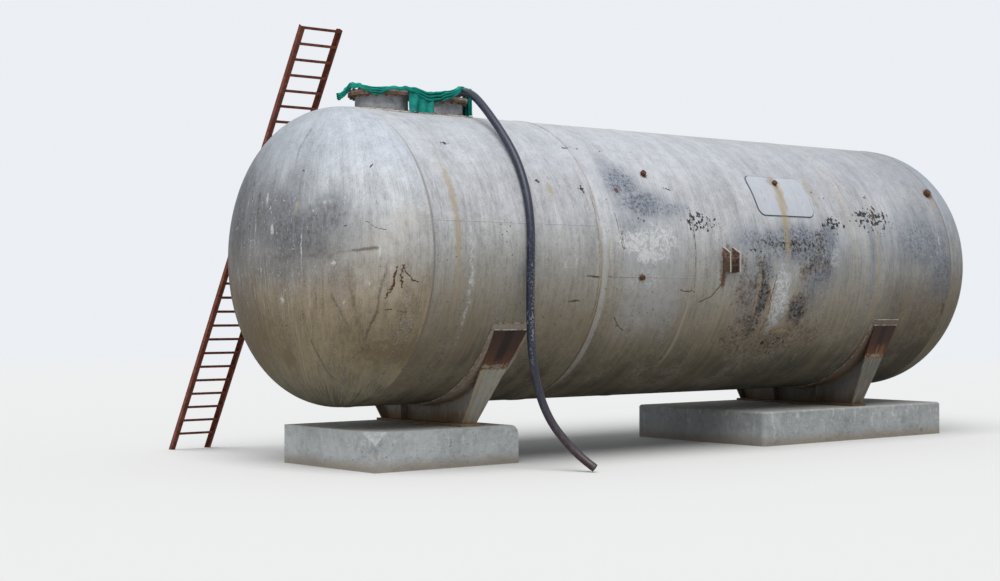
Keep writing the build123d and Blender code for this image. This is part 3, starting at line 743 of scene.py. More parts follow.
# zones of flaked paint: the flakes themselves come from noise
FLAKES = (
    (3.78, 15.5, 0.3, 6, 1.0), (6.78, 21, 0.38, 7.0, 1.0), (6.86, 32.5, 0.18, 1.2, 0.9),
    (2.77, 49.2, 0.09, 0.9, 1.0), (1.54, 30.5, 0.07, 1.5, 0.9), (1.72, 32.5, 0.04, 0.7, 0.9),
    (0.56, 47.2, 0.07, 0.7, 0.9), (5.3, 8, 0.6, 5, 0.85), (4.8, -14, 0.16, 15, 0.85),
    (6.02, 17.5, 0.24, 5.0, 1.0), (2.12, 27.5, 0.05, 2.0, 1.25), (5.2, -38, 0.4, 7, 0.75),
    (2.3, 50.4, 0.2, 0.6, 0.9), (3.58, -13, 0.18, 1.0, 0.95), (3.4, 30, 0.12, 0.7, 0.8),
    (4.6, 4.5, 0.14, 1.5, 0.9), (5.45, -22, 0.14, 7, 0.9), (6.42, 20, 0.1, 1.5, 0.8),
    (6.7, 14.5, 0.16, 1.2, 0.8), (5.86, 33.5, 0.12, 0.7, 0.8), (6.04, 30, 0.07, 0.7, 0.8),
    (2.87, 15, 0.12, 0.8, 0.8), (3.65, 10, 0.02, 10, 0.7), (7.58, 34, 0.12, 2.5, 0.65),
    (2.6, -26, 0.12, 3.0, 0.6),
)
# rows are distance and angle of both ends, half width in metres and strength
CRACKS = (
    (4.07, -10, 3.95, -15, 0.009, 1.0), (3.95, -15, 3.77, -17.5, 0.008, 1.0),
    (1.85, -17.5, 1.93, -16.6, 0.007, 0.9), (1.93, -16.6, 2.0, -17.3, 0.006, 0.9),
    (2.55, -24, 2.64, -27, 0.008, 0.9), (2.64, -27, 2.75, -30, 0.007, 0.8),
    (2.05, -7.3, 2.24, -7.3, 0.008, 1.0), (2.35, -7.3, 2.9, -7.5, 0.005, 0.6),
    (2.22, 28, 2.225, -25, 0.005, 0.7), (3.65, 22, 3.652, -12, 0.005, 0.8),
    (5.1, -31, 5.28, -29.5, 0.009, 0.9), (5.28, -29.5, 5.46, -31, 0.009, 0.9),
    (2.505, 18, 2.53, 8, 0.006, 0.7), (3.45, -12.6, 3.6, -13.2, 0.009, 0.8),
    (0.23, -8, 0.25, -12, 0.005, 0.5), (4.95, 32.3, 4.945, 30.6, 0.006, 1.0),
    (4.95, 28.4, 4.955, 26.8, 0.006, 1.0), (5.6, 32.3, 5.605, 30.7, 0.006, 1.0),
    (5.6, 27.8, 5.6, 26.2, 0.006, 1.0), (8.15, -16, 8.22, -24, 0.007, 0.6),
    (6.36, 60, 6.362, -10, 0.006, 0.5), (2.55, 14, 2.58, 3, 0.006, 0.5), (4.98, -5, 4.93, -16, 0.008, 0.7),
    (4.93, -16, 4.98, -27, 0.008, 0.6),
)
seam_places = (0.058, 2.243, 3.649, 6.298, 8.232)
metres_a_degree = tank_radius * radians(1)
shell_marks = (SOOT, CHAR, BLOOM, OCHRE, RUST, FLAKES, CRACKS)
print("the shell carries", sum(len(rows) for rows in shell_marks), "placed marks")


# %% What all of the tank's paint shares
weld_dirt = (0.15, 0.135, 0.12)


def weld_line(along, seam, weather, wide=0.020, narrow=0.006):
    """A dirty line over a welded seam, thicker in some places than in others."""
    return abs(along - seam).ease(wide, narrow) * (0.3 + weather.thin * 0.8)


class Weather:
    """The patterns that rain and dust left on the paint, all of them values around a half.

    across runs level over the surface and up is a height in metres. A run of rain is long and thin, so the
    pattern of runs is noise on a plane whose upward measure is squeezed to a tenth."""

    def __init__(self, place, across, up):
        self.drift = place.noise(0.55, 3.0, 0.6) - 0.5
        self.ripple = place.noise(3.5, 4.0, 0.6) - 0.5
        runs = combine(across, up * 0.10)
        self.thin = runs.noise(24.0, 5.0, 0.68)
        self.wide = runs.noise(5.0, 4.0, 0.62)
        self.hair = runs.noise(95.0, 3.0, 0.6)
        self.cloud = place.noise(1.7, 5.0, 0.62)
        self.mottle = place.noise(10.0, 6.0, 0.66)
        self.grain = place.noise(60.0, 3.0, 0.6)

    def shade(self, zone):
        """How much darker or lighter the paint gets; zone is 1 where rain has run and 0 on top."""
        runs = (self.thin - 0.5) * 1.05 + (self.wide - 0.5) * 1.00 + (self.hair - 0.5) * 0.50
        fine = (self.grain - 0.5) * 0.60 + (self.hair - 0.5) * 0.30
        spread = (self.mottle - 0.5) * 0.60 + (self.cloud - 0.5) * 0.55 + fine
        return 0.98 + runs * (0.42 + zone * 0.58) + spread

    def streaked(self, colour, dirt, zone):
        """Separate dark runs and pale ones over a colour, as far as zone says."""
        dark = (self.thin * 0.6 + self.hair * 0.4).ease(0.53, 0.66) * self.mottle.ease(0.35, 0.6)
        pale = (self.thin * 0.5 + self.wide * 0.5).ease(0.47, 0.36) * self.grain.ease(0.42, 0.62)
        return colour.mix(dirt, dark * zone * 0.55).mix((0.55, 0.55, 0.53), pale * zone * 0.35)


# %% The shell's paint, streaks and brown dirt
shell_paint, shell_shader, place = new_finish("tank_shell_paint")
side = place.axis(1)
rise = place.axis(2) - axis_height
along = place.axis(0) - near_tangent
front = side.ease(0.05, -0.05)
height_angle = rise.math("ARCTAN2", abs(side) + 0.0001) * (180 / pi)
weather = Weather(place, along, rise)
shifted = height_angle + weather.drift * 18.0 + weather.ripple * 8.0 + (weather.thin - 0.5) * 14.0
colour = shifted.over(-90, 90, PAINT_BY_ANGLE)
below_top = height_angle.ease(52.0, 8.0)
# rows are distance and how bright the paint is there; it grows darker towards the far end
brightness_along = (
    (0.0, 1.0), (0.5, 0.93), (1.1, 0.94), (2.2, 0.97), (3.0, 0.99), (4.2, 0.93), (5.9, 0.85), (7.0, 0.82),
    (8.3, 0.62),
)
lengthwise = along.over(0, 9.0, [(distance, (level, level, level)) for distance, level in brightness_along])
colour = colour.mix(lengthwise, 1.0, "MULTIPLY").shaded(weather.shade(below_top))
run_zone = height_angle.ease(30, -5, 0.25, 1.0) * height_angle.ease(-80, -50)
colour = weather.streaked(colour, (0.17, 0.13, 0.08), run_zone)
crumble = place.noise(26.0, 8.0, 0.72)
lines = abs(place.noise(8.0, 9.0, 0.68) - 0.5).ease(0.040, 0.008)
colour = colour.mix((0.56, 0.565, 0.56), lines * weather.cloud.ease(0.42, 0.62) * below_top * 0.22)
brown_zone = height_angle.ease(12, -30) * along.ease(4.5, 1.0, 0.50, 1.0)
brown_amount = brown_zone * (weather.cloud * 0.6 + weather.wide * 0.6).ease(0.42, 0.72) * 0.7
colour = colour.mix((0.205, 0.17, 0.115), brown_amount)
far_belly = along.ease(6.6, 7.4) * height_angle.ease(0, -15)
colour = colour.mix((0.74, 0.71, 0.69), far_belly, "MULTIPLY")
print("the plain paint takes", len(shell_paint.node_tree.nodes), "nodes")

# %% [markdown]
# The placed marks lie on a plane of distance and angle. A vector of noise moves its points, so an oval on
# it gets a wandering edge. The further the points move, the looser the mark. Soot is a blue-grey cloud with
# black flecks in it and paler gaps, and two places that rain has washed lie under it. Bloom is white, and
# follows fine crazed lines.

# %% Soot and bloom
jitter = place.jitter(7.0, 4.0, 0.6)
plane = combine(along, height_angle)
tight_plane = plane.moved(jitter, (0.035, 1.5, 0.0))
loose_plane = plane.moved(jitter, (0.12, 6.0, 0.0))
wild_plane = plane.moved(place.jitter(2.6, 8.0, 0.62), (0.75, 30.0, 0.0))
washed = along.within(2.58, 3.46, 0.10) * height_angle.within(-30, 16, 10) * 0.75
washed = washed.most(along.within(5.02, 5.22, 0.07) * height_angle.within(-26, 3, 6)) * front
colour = colour.mix((0.40, 0.415, 0.45), washed * weather.mottle.ease(0.35, 0.60, 0.30, 0.75))
dark_cloud = loose_plane.blots(SOOT, 0.8) * front
flecks = (crumble * 0.6 + weather.grain * 0.4).ease(0.47, 0.58)
colour = colour.mix((0.12, 0.16, 0.235), dark_cloud * (0.45 + weather.mottle.ease(0.3, 0.7) * 0.32))
colour = colour.mix((0.05, 0.056, 0.068), dark_cloud.ease(0.15, 0.8) * flecks * 0.75)
colour = colour.mix((0.48, 0.50, 0.53), dark_cloud.ease(0.2, 0.6) * crumble.ease(0.40, 0.33) * 0.55)
bloom = loose_plane.blots(BLOOM, 0.9) * front
white = bloom * 0.16 + bloom.ragged(crumble, 2.8, 0.62, 0.92) * 0.55 + bloom.ease(0.10, 0.6) * lines * 0.65
colour = colour.mix((0.70, 0.71, 0.72), white.least(0.85))
print("with soot and bloom it takes", len(shell_paint.node_tree.nodes))

# %% [markdown]
# Scorched places are brown at their edges and black inside. Rust sits at the fittings. Flaked paint shows
# the dark primer: a zone is an oval, and a noise that is cut off sharply makes the flakes in it. Cracks are
# thin strokes on a plane that is measured in metres both ways.

# %% Scorch, rust, flakes and cracks
char = wild_plane.blots(CHAR, 1.0) * front
scorch = char.ragged(crumble, 1.6, 0.20, 0.42) * height_angle.ease(6, -6, 0.15, 1.0)
colour = colour.mix((0.16, 0.10, 0.06), scorch * 0.55)
colour = colour.mix((0.055, 0.056, 0.058), char.ragged(crumble, 2.4, 0.42, 0.74) * 0.88)
colour = colour.mix((0.42, 0.41, 0.39), char.ease(0.15, 0.6) * lines * 0.35)
rust = tight_plane.blots(RUST, 0.8) * front
colour = colour.mix((0.115, 0.06, 0.033), rust * 0.30 + rust.ragged(crumble, 2.0) * 0.65)
flake_zone = loose_plane.blots(FLAKES, 0.8) * front
flakes = flake_zone.ragged(place.noise(21.0, 4.0, 0.60), 4.2, 1.02, 1.12)
colour = colour.mix((0.022, 0.02, 0.02), flakes * 0.95)
metre_plane = combine(along, height_angle * metres_a_degree).moved(jitter, (0.04, 0.04, 0.0))
cracks = metre_plane.strokes(CRACKS, 0.7, metres_a_degree) * front
cracks = cracks.ragged(crumble, 2.0, 0.45, 0.75)
colour = colour.mix((0.095, 0.055, 0.034), cracks * 0.85)
print("with scorch, rust, flakes and cracks it takes", len(shell_paint.node_tree.nodes))

# %% [markdown]
# The cover strip over the second seam is paler where its paint has chalked. So is the patch plate: how far
# a point lies beyond its rounded edge gives both the plate's own tone and the dark line round it. That
# line is a weld line, made darker along the plate's lower edge and its near end by painted shadow. The
# ochre runs come last, because they run over everything.

# %% The strip, the patch and the ochre runs
strip_edges = (2.266, 2.345)
strip = along.within(*strip_edges, 0.006) * height_angle.within(-58, 10, 8) * front
speckle = weather.grain * 0.55 + weather.mottle * 0.45
strip_tone = 0.42 + speckle.ease(0.40, 0.6) * 0.4
colour = colour.mix((0.46, 0.465, 0.46), strip * strip_tone * height_angle.ease(-65, -10, 0.4, 1.0))
pale_band = along.within(3.585, 3.625, 0.012) * height_angle.within(-46, -15, 8) * front
colour = colour.mix((0.42, 0.39, 0.34), pale_band * 0.5)
patch_low, patch_high, patch_bottom, patch_top = 4.795, 5.740, 20.3, 39.9
patch_corner = 0.095
half_width = (patch_high - patch_low) / 2
half_height = radians(patch_top - patch_bottom) * tank_radius / 2
patch_u = abs(along - (patch_low + patch_high) / 2) - (half_width - patch_corner)
patch_v = abs(height_angle - (patch_bottom + patch_top) / 2) * metres_a_degree - (half_height - patch_corner)
beyond = combine(patch_u.most(0.0), patch_v.most(0.0)).vector("LENGTH", output=1) - patch_corner
colour = colour.mix((0.505, 0.54, 0.60), beyond.ease(0.004, -0.002) * front * 0.62)
# a dark weld line round the patch; painted shadow makes it full strength along the lower edge and the near
# end
patch_weld_and_shadow = beyond.ease(0.022, 0.006) * beyond.ease(-0.004, 0.001) * front
patch_weld_and_shadow = patch_weld_and_shadow * weather.mottle.ease(0.25, 0.45, 0.5, 1.0)
patch_weld_and_shadow = patch_weld_and_shadow * height_angle.ease(31, 27, 0.35, 1.0).most(along.ease(4.95, 4.85))
colour = colour.mix((0.055, 0.058, 0.065), patch_weld_and_shadow * 0.85)
ochre = loose_plane.blots(OCHRE, 1.0) * front
torn = ochre.ragged(weather.thin * 0.4 + crumble * 0.6, 2.2)
colour = colour.mix((0.365, 0.285, 0.165), ochre * weather.thin.ease(0.40, 0.60, 0.15, 0.45) + torn * 0.36)

# %% [markdown]
# Some marks have no place of their own. Small chips show the dark primer or the rust, and there are more of
# them lower down. Beside each welded seam the paint is burnt in a narrow band, and dirt gathers along the
# first and the last bead. Below its lengthwise weld the first course is a little darker.

# %% Chips, seams and bumps
def chips_and_specks(colour, place, zone):
    """Small round chips and finer specks, where zone is high. Gives the new colour and the chips."""
    picked = place.cells(17.0, output=1).part(0).ease(0.55, 0.66)
    chips = place.cells(17.0).ease(0.20, 0.10) * picked * zone
    colour = colour.mix((0.085, 0.06, 0.045), chips * 0.85)
    specks = place.noise(85.0, 2.0, 0.5).ease(0.62, 0.70) * (0.25 + zone * 0.75)
    return colour.mix((0.09, 0.085, 0.08), specks * 0.6), chips


chip_zone = (weather.cloud * 1.3 - height_angle / 300.0).ease(0.60, 0.86)
colour, chips = chips_and_specks(colour, place, chip_zone)
burnt = abs(along - seam_places[0]).ease(0.040, 0.006)
for seam in seam_places[1:]:
    burnt = burnt.most(abs(along - seam).ease(0.040, 0.006))
seam_rust = burnt * (weather.thin * 1.2 + weather.mottle * 0.7).ease(0.80, 1.25) * height_angle.ease(60, 20)
colour = colour.mix((0.20, 0.155, 0.115), seam_rust * 0.45)
for seam in (seam_places[0], seam_places[-1]):
    line = weld_line(along, seam, weather, 0.016, 0.007) * height_angle.ease(75, 25, 0.25, 1.0)
    colour = colour.mix(weld_dirt, line * 0.7)
plate_step = height_angle.ease(12.9, 12.1) * along.within(0.45, 2.24, 0.05) * front
colour = colour.mix((0.34, 0.325, 0.30), plate_step * 0.10 * height_angle.ease(-20, 5))
height = weather.grain * 0.3 + weather.mottle * 0.6 + place.noise(260.0, 2.0, 0.5) * 0.12
height = height - chips * 0.3 + weather.cloud * 1.2
roughness = 0.62 + dark_cloud * 0.2 + rust * 0.25 + (weather.mottle - 0.5) * 0.3
finish(shell_shader, colour, roughness, height)
courses = [f"shell_course_{number}" for number in (1, 2, 3, 4)]
fittings = ("girth_welds", "shell_welds", "seam_cover_strip", "patch_plate", "manway_1_pad", "manway_2_pad")
dress(shell_paint, *courses, *fittings)

# %% [markdown]
# The near head carries the most marks: a dark grey cloud over its middle, and brown runs below it that meet
# in points like a V. Its marks are placed on the plane that one sees from its end, across and up in metres.
# A long mark is a stroke: its mask is the distance from a straight piece between two points, worked out
# with a dot product.

# %% The near head's marks
# colours by height: the dark stops low down are partly brown dirt and partly painted shade under the tank
HEAD_PAINT = (
    (-1.525, (0.09, 0.08, 0.055)), (-1.3, (0.235, 0.21, 0.145)), (-0.9, (0.27, 0.22, 0.145)),
    (-0.5, (0.305, 0.25, 0.175)), (-0.3, (0.33, 0.285, 0.225)), (-0.1, (0.365, 0.345, 0.315)),
    (0.1, (0.395, 0.39, 0.38)), (0.4, (0.44, 0.45, 0.465)), (0.8, (0.455, 0.48, 0.515)),
    (1.1, (0.425, 0.455, 0.5)), (1.525, (0.41, 0.435, 0.475)),
)
# rows are across, up, half sizes and strength
HEAD_DARK_CLOUD = (
    (-0.4, 0.22, 0.62, 0.3, 0.95), (-0.8, 0.34, 0.22, 0.24, 0.9), (-0.15, 0.45, 0.4, 0.3, 0.8),
    (0.25, 0.4, 0.45, 0.42, 0.8), (-0.3, 0.66, 0.26, 0.22, 0.55), (0.75, 0.45, 0.45, 0.6, 0.9),
    (-0.15, -0.1, 0.85, 0.22, 0.6), (0.7, -0.4, 0.5, 0.6, 0.45), (1.2, 0.2, 0.4, 0.9, 0.6),
    (-0.7, 0.1, 0.25, 0.2, 0.8), (0.05, 0.2, 0.2, 0.25, 0.6),
)
HEAD_BROWN = (
    (-0.08, -0.99, 0.13, 0.12, 0.9), (-1.18, -0.95, 0.26, 0.15, 0.7), (0.2, -0.75, 0.5, 0.3, 0.6),
    (-0.75, -0.7, 0.22, 0.3, 0.2), (-0.3, -0.6, 0.3, 0.25, 0.35), (0.6, -0.9, 0.4, 0.4, 0.6),
    (-0.7, -0.45, 0.1, 0.16, 0.4), (-0.95, -0.75, 0.25, 0.12, 0.5),
)
HEAD_WHITE = (
    (-0.03, 0.25, 0.03, 0.06, 1.0), (0.137, 0.577, 0.03, 0.06, 0.8), (-0.497, 0.03, 0.009, 0.26, 0.9),
    (-0.17, -0.44, 0.04, 0.045, 0.8), (0.163, -0.16, 0.012, 0.12, 0.7), (-1.337, 0.03, 0.01, 0.05, 1.0),
    (-1.46, 0.437, 0.05, 0.06, 0.6), (-0.878, -0.086, 0.03, 0.02, 0.9), (-0.97, 0.62, 0.03, 0.24, 0.55),
    (-1.08, 0.5, 0.02, 0.26, 0.5), (-1.02, -0.05, 0.02, 0.12, 0.35), (0.3, 0.3, 0.015, 0.2, 0.7),
    (0.4, 0.05, 0.012, 0.22, 0.6), (-1.25, -0.25, 0.055, 0.2, 0.35), (-1.2, -0.5, 0.06, 0.2, 0.3),
    (-0.95, -0.45, 0.05, 0.12, 0.45), (0.55, 0.5, 0.02, 0.2, 0.5), (-0.3, -0.3, 0.02, 0.15, 0.4),
    (-0.78, 0.5, 0.1, 0.035, 0.6), (-0.66, 0.42, 0.06, 0.03, 0.6), (0.22, 0.1, 0.02, 0.1, 0.5),
)
HEAD_BEIGE = ((-1.43, 0.33, 0.06, 0.12, 0.25), (-1.35, 0.1, 0.12, 0.1, 0.15), (-0.4, 0.48, 0.03, 0.08, 0.4))
HEAD_DOTS = (
    (-0.385, 0.825, 0.018, 0.007, 1.0), (-1.118, 0.85, 0.005, 0.018, 1.0), (-1.011, 0.26, 0.012, 0.008, 1.0),
)
# rows are across and up of both ends, half width and strength
HEAD_DARK_STROKES = (
    (-1.361, -0.194, -1.249, -0.553, 0.01, 0.7), (-1.249, -0.553, -1.091, -0.802, 0.01, 0.9),
    (-1.06, -0.15, -1.09, -0.8, 0.045, 0.55), (-1.083, -0.802, -1.05, -0.9, 0.03, 0.6),
    (-0.842, -0.382, -0.981, -0.687, 0.012, 0.6), (-0.444, -0.555, -0.486, -0.827, 0.008, 0.5),
    (-0.486, -0.827, -0.543, -1.022, 0.012, 0.9), (-0.543, -1.022, -0.58, -1.208, 0.01, 0.7),
    (-1.041, -0.898, -0.84, -1.036, 0.009, 0.5), (0.078, -0.022, -0.845, -0.01, 0.03, 0.45),
    (-0.845, -0.01, -1.106, 0.034, 0.014, 0.4), (-1.106, 0.034, -1.316, 0.051, 0.016, 0.9),
    (-0.271, 1.239, -0.218, 1.039, 0.014, 0.6), (-0.218, 1.039, -0.232, 0.878, 0.014, 0.5),
    (-0.513, 1.122, -0.45, 0.95, 0.01, 0.4), (0.064, 0.855, 0.04, 0.5, 0.02, 0.4),
    (-0.38, 0.82, -0.42, 0.35, 0.02, 0.45), (0.5, 0.8, 0.42, 0.2, 0.02, 0.5),
    (0.3, 0.62, 0.28, 0.35, 0.025, 0.7),
)
HEAD_RUST_STROKES = (
    (-1.433, -0.119, -1.383, -0.307, 0.009, 1.0), (-1.383, -0.307, -1.323, -0.421, 0.008, 0.9),
    (-1.473, -0.1, -1.428, -0.326, 0.007, 0.8), (-1.465, -0.09, -1.49, -0.269, 0.005, 0.8),
    (-1.28, -0.534, -1.395, -0.544, 0.005, 0.8), (-1.212, 0.307, -1.359, 0.221, 0.004, 0.9),
)


# %% The near head's paint
def dished_paint(place, depth):
    """Paint of a dished end, coloured by height; depth grows outward from the tangent line.

    Rain runs down from its top, so the runs' pattern turns with the direction from the middle."""
    side = place.axis(1)
    rise = place.axis(2) - axis_height
    turn = side.math("ARCTAN2", depth + 0.001) * 1.1
    weather = Weather(place, turn, rise)
    shifted = rise + weather.drift * 0.45 + weather.ripple * 0.25 + (weather.thin - 0.5) * 0.5
    colour = shifted.over(HEAD_PAINT[0][0], HEAD_PAINT[-1][0], HEAD_PAINT)
    # the head is painted lighter at its front and darker towards its back: painted light and shade
    colour = colour.shaded(weather.shade(rise.ease(1.2, 0.4)) * side.ease(-1.0, 1.2, 1.10, 0.76))
    return side, rise, weather, weather.streaked(colour, (0.16, 0.12, 0.07), rise.ease(0.9, 0.0, 0.4, 1.0))


def chipped_head(place, weather, rise, colour, height):
    """Chips in a head's colour and in its height."""
    chip_zone = (weather.cloud * 1.2 - rise * 0.18).ease(0.66, 0.95)
    colour, chips = chips_and_specks(colour, place, chip_zone)
    return colour, height - chips * 0.3 + weather.cloud * 1.5


head_paint, head_shader, place = new_finish("tank_head_paint")
side, rise, weather, colour = dished_paint(place, near_tangent - place.axis(0))
jitter = place.jitter(5.0, 5.0, 0.65)
plane = combine(side, rise)
tight_plane = plane.moved(jitter, (0.10, 0.10, 0.0))
loose_plane = plane.moved(jitter, (0.45, 0.45, 0.0))
line_plane = plane.moved(jitter, (0.045, 0.045, 0.0))
streaky = weather.thin * 0.5 + weather.wide * 0.2 + weather.mottle * 0.3
# a dark grey cloud over the head's middle, drawn as loose ovals
dark_cloud = loose_plane.blots(HEAD_DARK_CLOUD, 1.0)
crumble = place.noise(22.0, 8.0, 0.72)
patchy = (streaky * 0.75 + crumble * 0.30).ease(0.40, 0.66)
colour = colour.mix((0.07, 0.073, 0.083), dark_cloud.ease(0.0, 0.95) * (0.44 + patchy * 0.56))
brown = loose_plane.blots(HEAD_BROWN, 0.8)
colour = colour.mix((0.15, 0.11, 0.06), brown * 0.40 + brown.ragged(crumble, 2.0) * 0.30)
print("the head's plain paint takes", len(head_paint.node_tree.nodes), "nodes")

# %% [markdown]
# Over the cloud lie small things: white splashes, pale flecks and drips, then the dark and the rusty
# strokes, and last the weld's dirty line and the chips.

# %% The near head's splashes and strokes
white = tight_plane.blots(HEAD_WHITE, 0.8)
colour = colour.mix((0.62, 0.63, 0.63), white * 0.16 + white.ragged(crumble, 2.6, 0.52, 0.82) * 0.60)
fleck_zone = side.within(-0.75, 1.0, 0.3) * rise.within(-0.35, 0.75, 0.3)
flecks = (place.noise(30.0, 6.0, 0.7) * 0.6 + weather.mottle * 0.4).ease(0.575, 0.62)
colour = colour.mix((0.58, 0.59, 0.60), flecks * fleck_zone * 0.8)
drips = weather.thin.ease(0.54, 0.66) * (crumble * 0.5 + weather.hair * 0.5).ease(0.44, 0.60)
drips = drips * rise.within(-0.7, 0.6, 0.3) * side.ease(-1.0, 0.0, 0.35, 1.0)
colour = colour.mix((0.52, 0.53, 0.54), drips * 0.75)
beige = tight_plane.blots(HEAD_BEIGE, 0.8) * (0.4 + weather.mottle)
colour = colour.mix((0.52, 0.48, 0.38), beige.least(0.8))
dark = line_plane.strokes(HEAD_DARK_STROKES, 0.95)
dark = dark * 0.36 + dark.ragged(crumble, 2.4, 0.35, 0.9) * 0.42
colour = colour.mix((0.10, 0.082, 0.06), dark)
rust = tight_plane.strokes(HEAD_RUST_STROKES, 0.6).ragged(crumble, 3.0, 0.66, 0.84)
colour = colour.mix((0.085, 0.045, 0.02), rust)
speckle = weather.grain * 0.45 + weather.mottle * 0.55
dots = tight_plane.blots(HEAD_DOTS, 0.4).ragged(speckle, 1.0)
colour = colour.mix((0.05, 0.05, 0.05), dots)
line = weld_line(place.axis(0) - near_tangent, head_skirt, weather) * rise.ease(1.5, 0.8, 0.25, 1.0)
colour = colour.mix(weld_dirt, line * 0.7)
height = weather.grain * 0.25 + weather.mottle * 0.5 + place.noise(260.0, 2.0, 0.5) * 0.12
colour, height = chipped_head(place, weather, rise, colour, height)
finish(head_shader, colour, 0.62 + dark_cloud * 0.15 + (weather.mottle - 0.5) * 0.3, height)
dress(head_paint, "near_head")

# %% The far head's paint
far_paint, far_shader, place = new_finish("tank_far_head_paint")
side, rise, weather, colour = dished_paint(place, place.axis(0) - far_tangent)
colour = colour.mix((0.64, 0.66, 0.68), 1.0, "MULTIPLY")
dark_cloud = (weather.cloud * 0.6 + weather.wide * 0.5).ease(0.56, 0.72) * rise.ease(1.0, 0.3)
colour = colour.mix((0.12, 0.125, 0.14), dark_cloud * 0.45)
line = weld_line(place.axis(0) - far_tangent, -head_skirt, weather)
colour = colour.mix(weld_dirt, line * 0.6)
colour, height = chipped_head(place, weather, rise, colour, weather.grain * 0.25 + weather.mottle * 0.5)
finish(far_shader, colour, 0.62 + (weather.mottle - 0.5) * 0.3, height)
dress(far_paint, "far_head")

# %% [markdown]
# The other finishes share one recipe: two or three colours of the stuff, mixed by noise of the right size,
# darker where dirt gathers and paler where the surface is worn. On the bracket, the far saddle, the far
# plinth and the hose's end, painted shade and highlight come on top. The bump gives the stuff's grain: pits
# in rust, pores and chips in concrete, a weave in the net.

# %% Bare rust and old steel paint
rust_bump = 0.0015


def rusty(name, base, rust, dark, amount, scale):
    """Painted steel with rust on it; amount is how much of the paint has gone, and scale the noise's."""
    material, shader, place = new_finish(name)
    broad = place.noise(scale * 0.35, 5.0, 0.65)
    fine = place.noise(scale, 6.0, 0.68)
    grain = place.noise(scale * 7, 3.0, 0.6)
    # the more paint has gone, the less noise is needed to bare the rust
    least_noise = 0.72 - amount * 0.42
    gone = (broad * 0.6 + fine * 0.55).ease(least_noise, least_noise + 0.14)
    dim = tuple(part * 0.72 for part in base)
    bright = tuple(min(1, part * 1.2) for part in base)
    colour = fine.ramp([(0.25, dim), (0.55, base), (0.8, bright)])
    rusted = grain.mix(rust, 1.0).mix(dark, (fine * 0.6 + grain * 0.5).ease(0.45, 0.75))
    colour = colour.mix(rusted, gone)
    finish(shader, colour, 0.62 + gone * 0.25, fine * 0.6 + grain * 0.35 - gone * 0.25, rust_bump)
    return material


rusty_finishes = (
    # name, paint, rust, dark rust, how much of the paint has gone, scale, and the pieces
    ("flange_rust", (0.30, 0.26, 0.22), (0.20, 0.115, 0.075), (0.070, 0.047, 0.038), 0.75, 22.0,
     ("manway_1_flange", "manway_2_flange", "manway_1_bolts", "manway_2_bolts", "hose_elbow")),
    ("fitting_rust", (0.17, 0.13, 0.10), (0.13, 0.062, 0.035), (0.035, 0.022, 0.018), 0.9, 30.0,
     ("pipe_stubs",)),
    ("ladder_rust", (0.26, 0.085, 0.055), (0.20, 0.065, 0.042), (0.085, 0.035, 0.026), 0.55, 26.0,
     ("ladder_near_rail", "ladder_far_rail", "ladder_rungs")),
    ("cover_paint", (0.42, 0.42, 0.40), (0.28, 0.20, 0.14), (0.15, 0.115, 0.09), 0.42, 9.0,
     ("manway_1_cover", "manway_2_cover")),
    ("weld_scale", (0.50, 0.475, 0.43), (0.25, 0.155, 0.095), (0.09, 0.06, 0.045), 0.50, 38.0,
     ("neck_welds", "saddle_welds")),
)
for *recipe, pieces in rusty_finishes:
    dress(rusty(*recipe), *pieces)

# %% The side bracket
bracket_rust, bracket_shader, place = new_finish("bracket_rust")
out = place.axis(1) * -1.0 - tank_radius
level = place.axis(2) - axis_height
mottle = place.noise(30.0, 6.0, 0.7)
grain = place.noise(110.0, 3.0, 0.6)
bracket_stops = ((0.35, (0.045, 0.032, 0.025)), (0.50, (0.13, 0.082, 0.060)), (0.65, (0.26, 0.19, 0.145)))
colour = mottle.ramp(bracket_stops)
# the pale rim is painted highlight on the plates' cut edge, which is upright and slopes back to the shell at
# its top
slope = (level - 0.088) * 0.86 + (out - 0.113) * 0.51
painted_highlight_rim = out.ease(0.1065, 0.109).most(slope.ease(-0.010, -0.007))
# the bracket's lower part is painted darker: painted shade under its plates
colour = colour.mix((0.055, 0.04, 0.032), level.ease(0.04, -0.06) * mottle.ease(0.35, 0.6) * 0.7)
colour = colour.mix((0.56, 0.53, 0.49), painted_highlight_rim * grain.ease(0.30, 0.45) * 0.9)
finish(bracket_shader, colour, 0.85, mottle * 0.6 + grain * 0.4, rust_bump)
dress(bracket_rust, "side_bracket")

# %% The manway necks
neck_paint, neck_shader, place = new_finish("neck_paint")
weather = Weather(place, place.axis(0) * 1.3 + place.axis(1), place.axis(2) * 4.0)
foot = place.axis(2).ease(3.70, 3.64)
neck_stops = ((0.3, (0.27, 0.275, 0.29)), (0.55, (0.36, 0.37, 0.39)), (0.8, (0.46, 0.47, 0.48)))
colour = weather.mottle.ramp(neck_stops)
colour = colour.shaded(weather.shade(1.0))
stain = (weather.thin * 0.7 + weather.mottle * 0.6).ease(0.62, 0.85) * (0.25 + foot * 0.75)
colour = colour.mix((0.24, 0.16, 0.10), stain * 0.8)
finish(neck_shader, colour, 0.65, weather.grain * 0.3 + weather.mottle * 0.6, 0.002)
dress(neck_paint, "manway_1_neck", "manway_2_neck")

# %% [markdown]
# The saddles' paint is streaked like the tank's. A horn is different: above a ragged, burnt edge its paint
# has gone and the plate is bare, dark and rusty, with an orange glow on the far one.

# %% The saddles' paint
saddle_spacing = 5.99
# between these places the near saddle's tone gives over to the far one's, darker with painted shade
far_half = (3.0, 3.02)


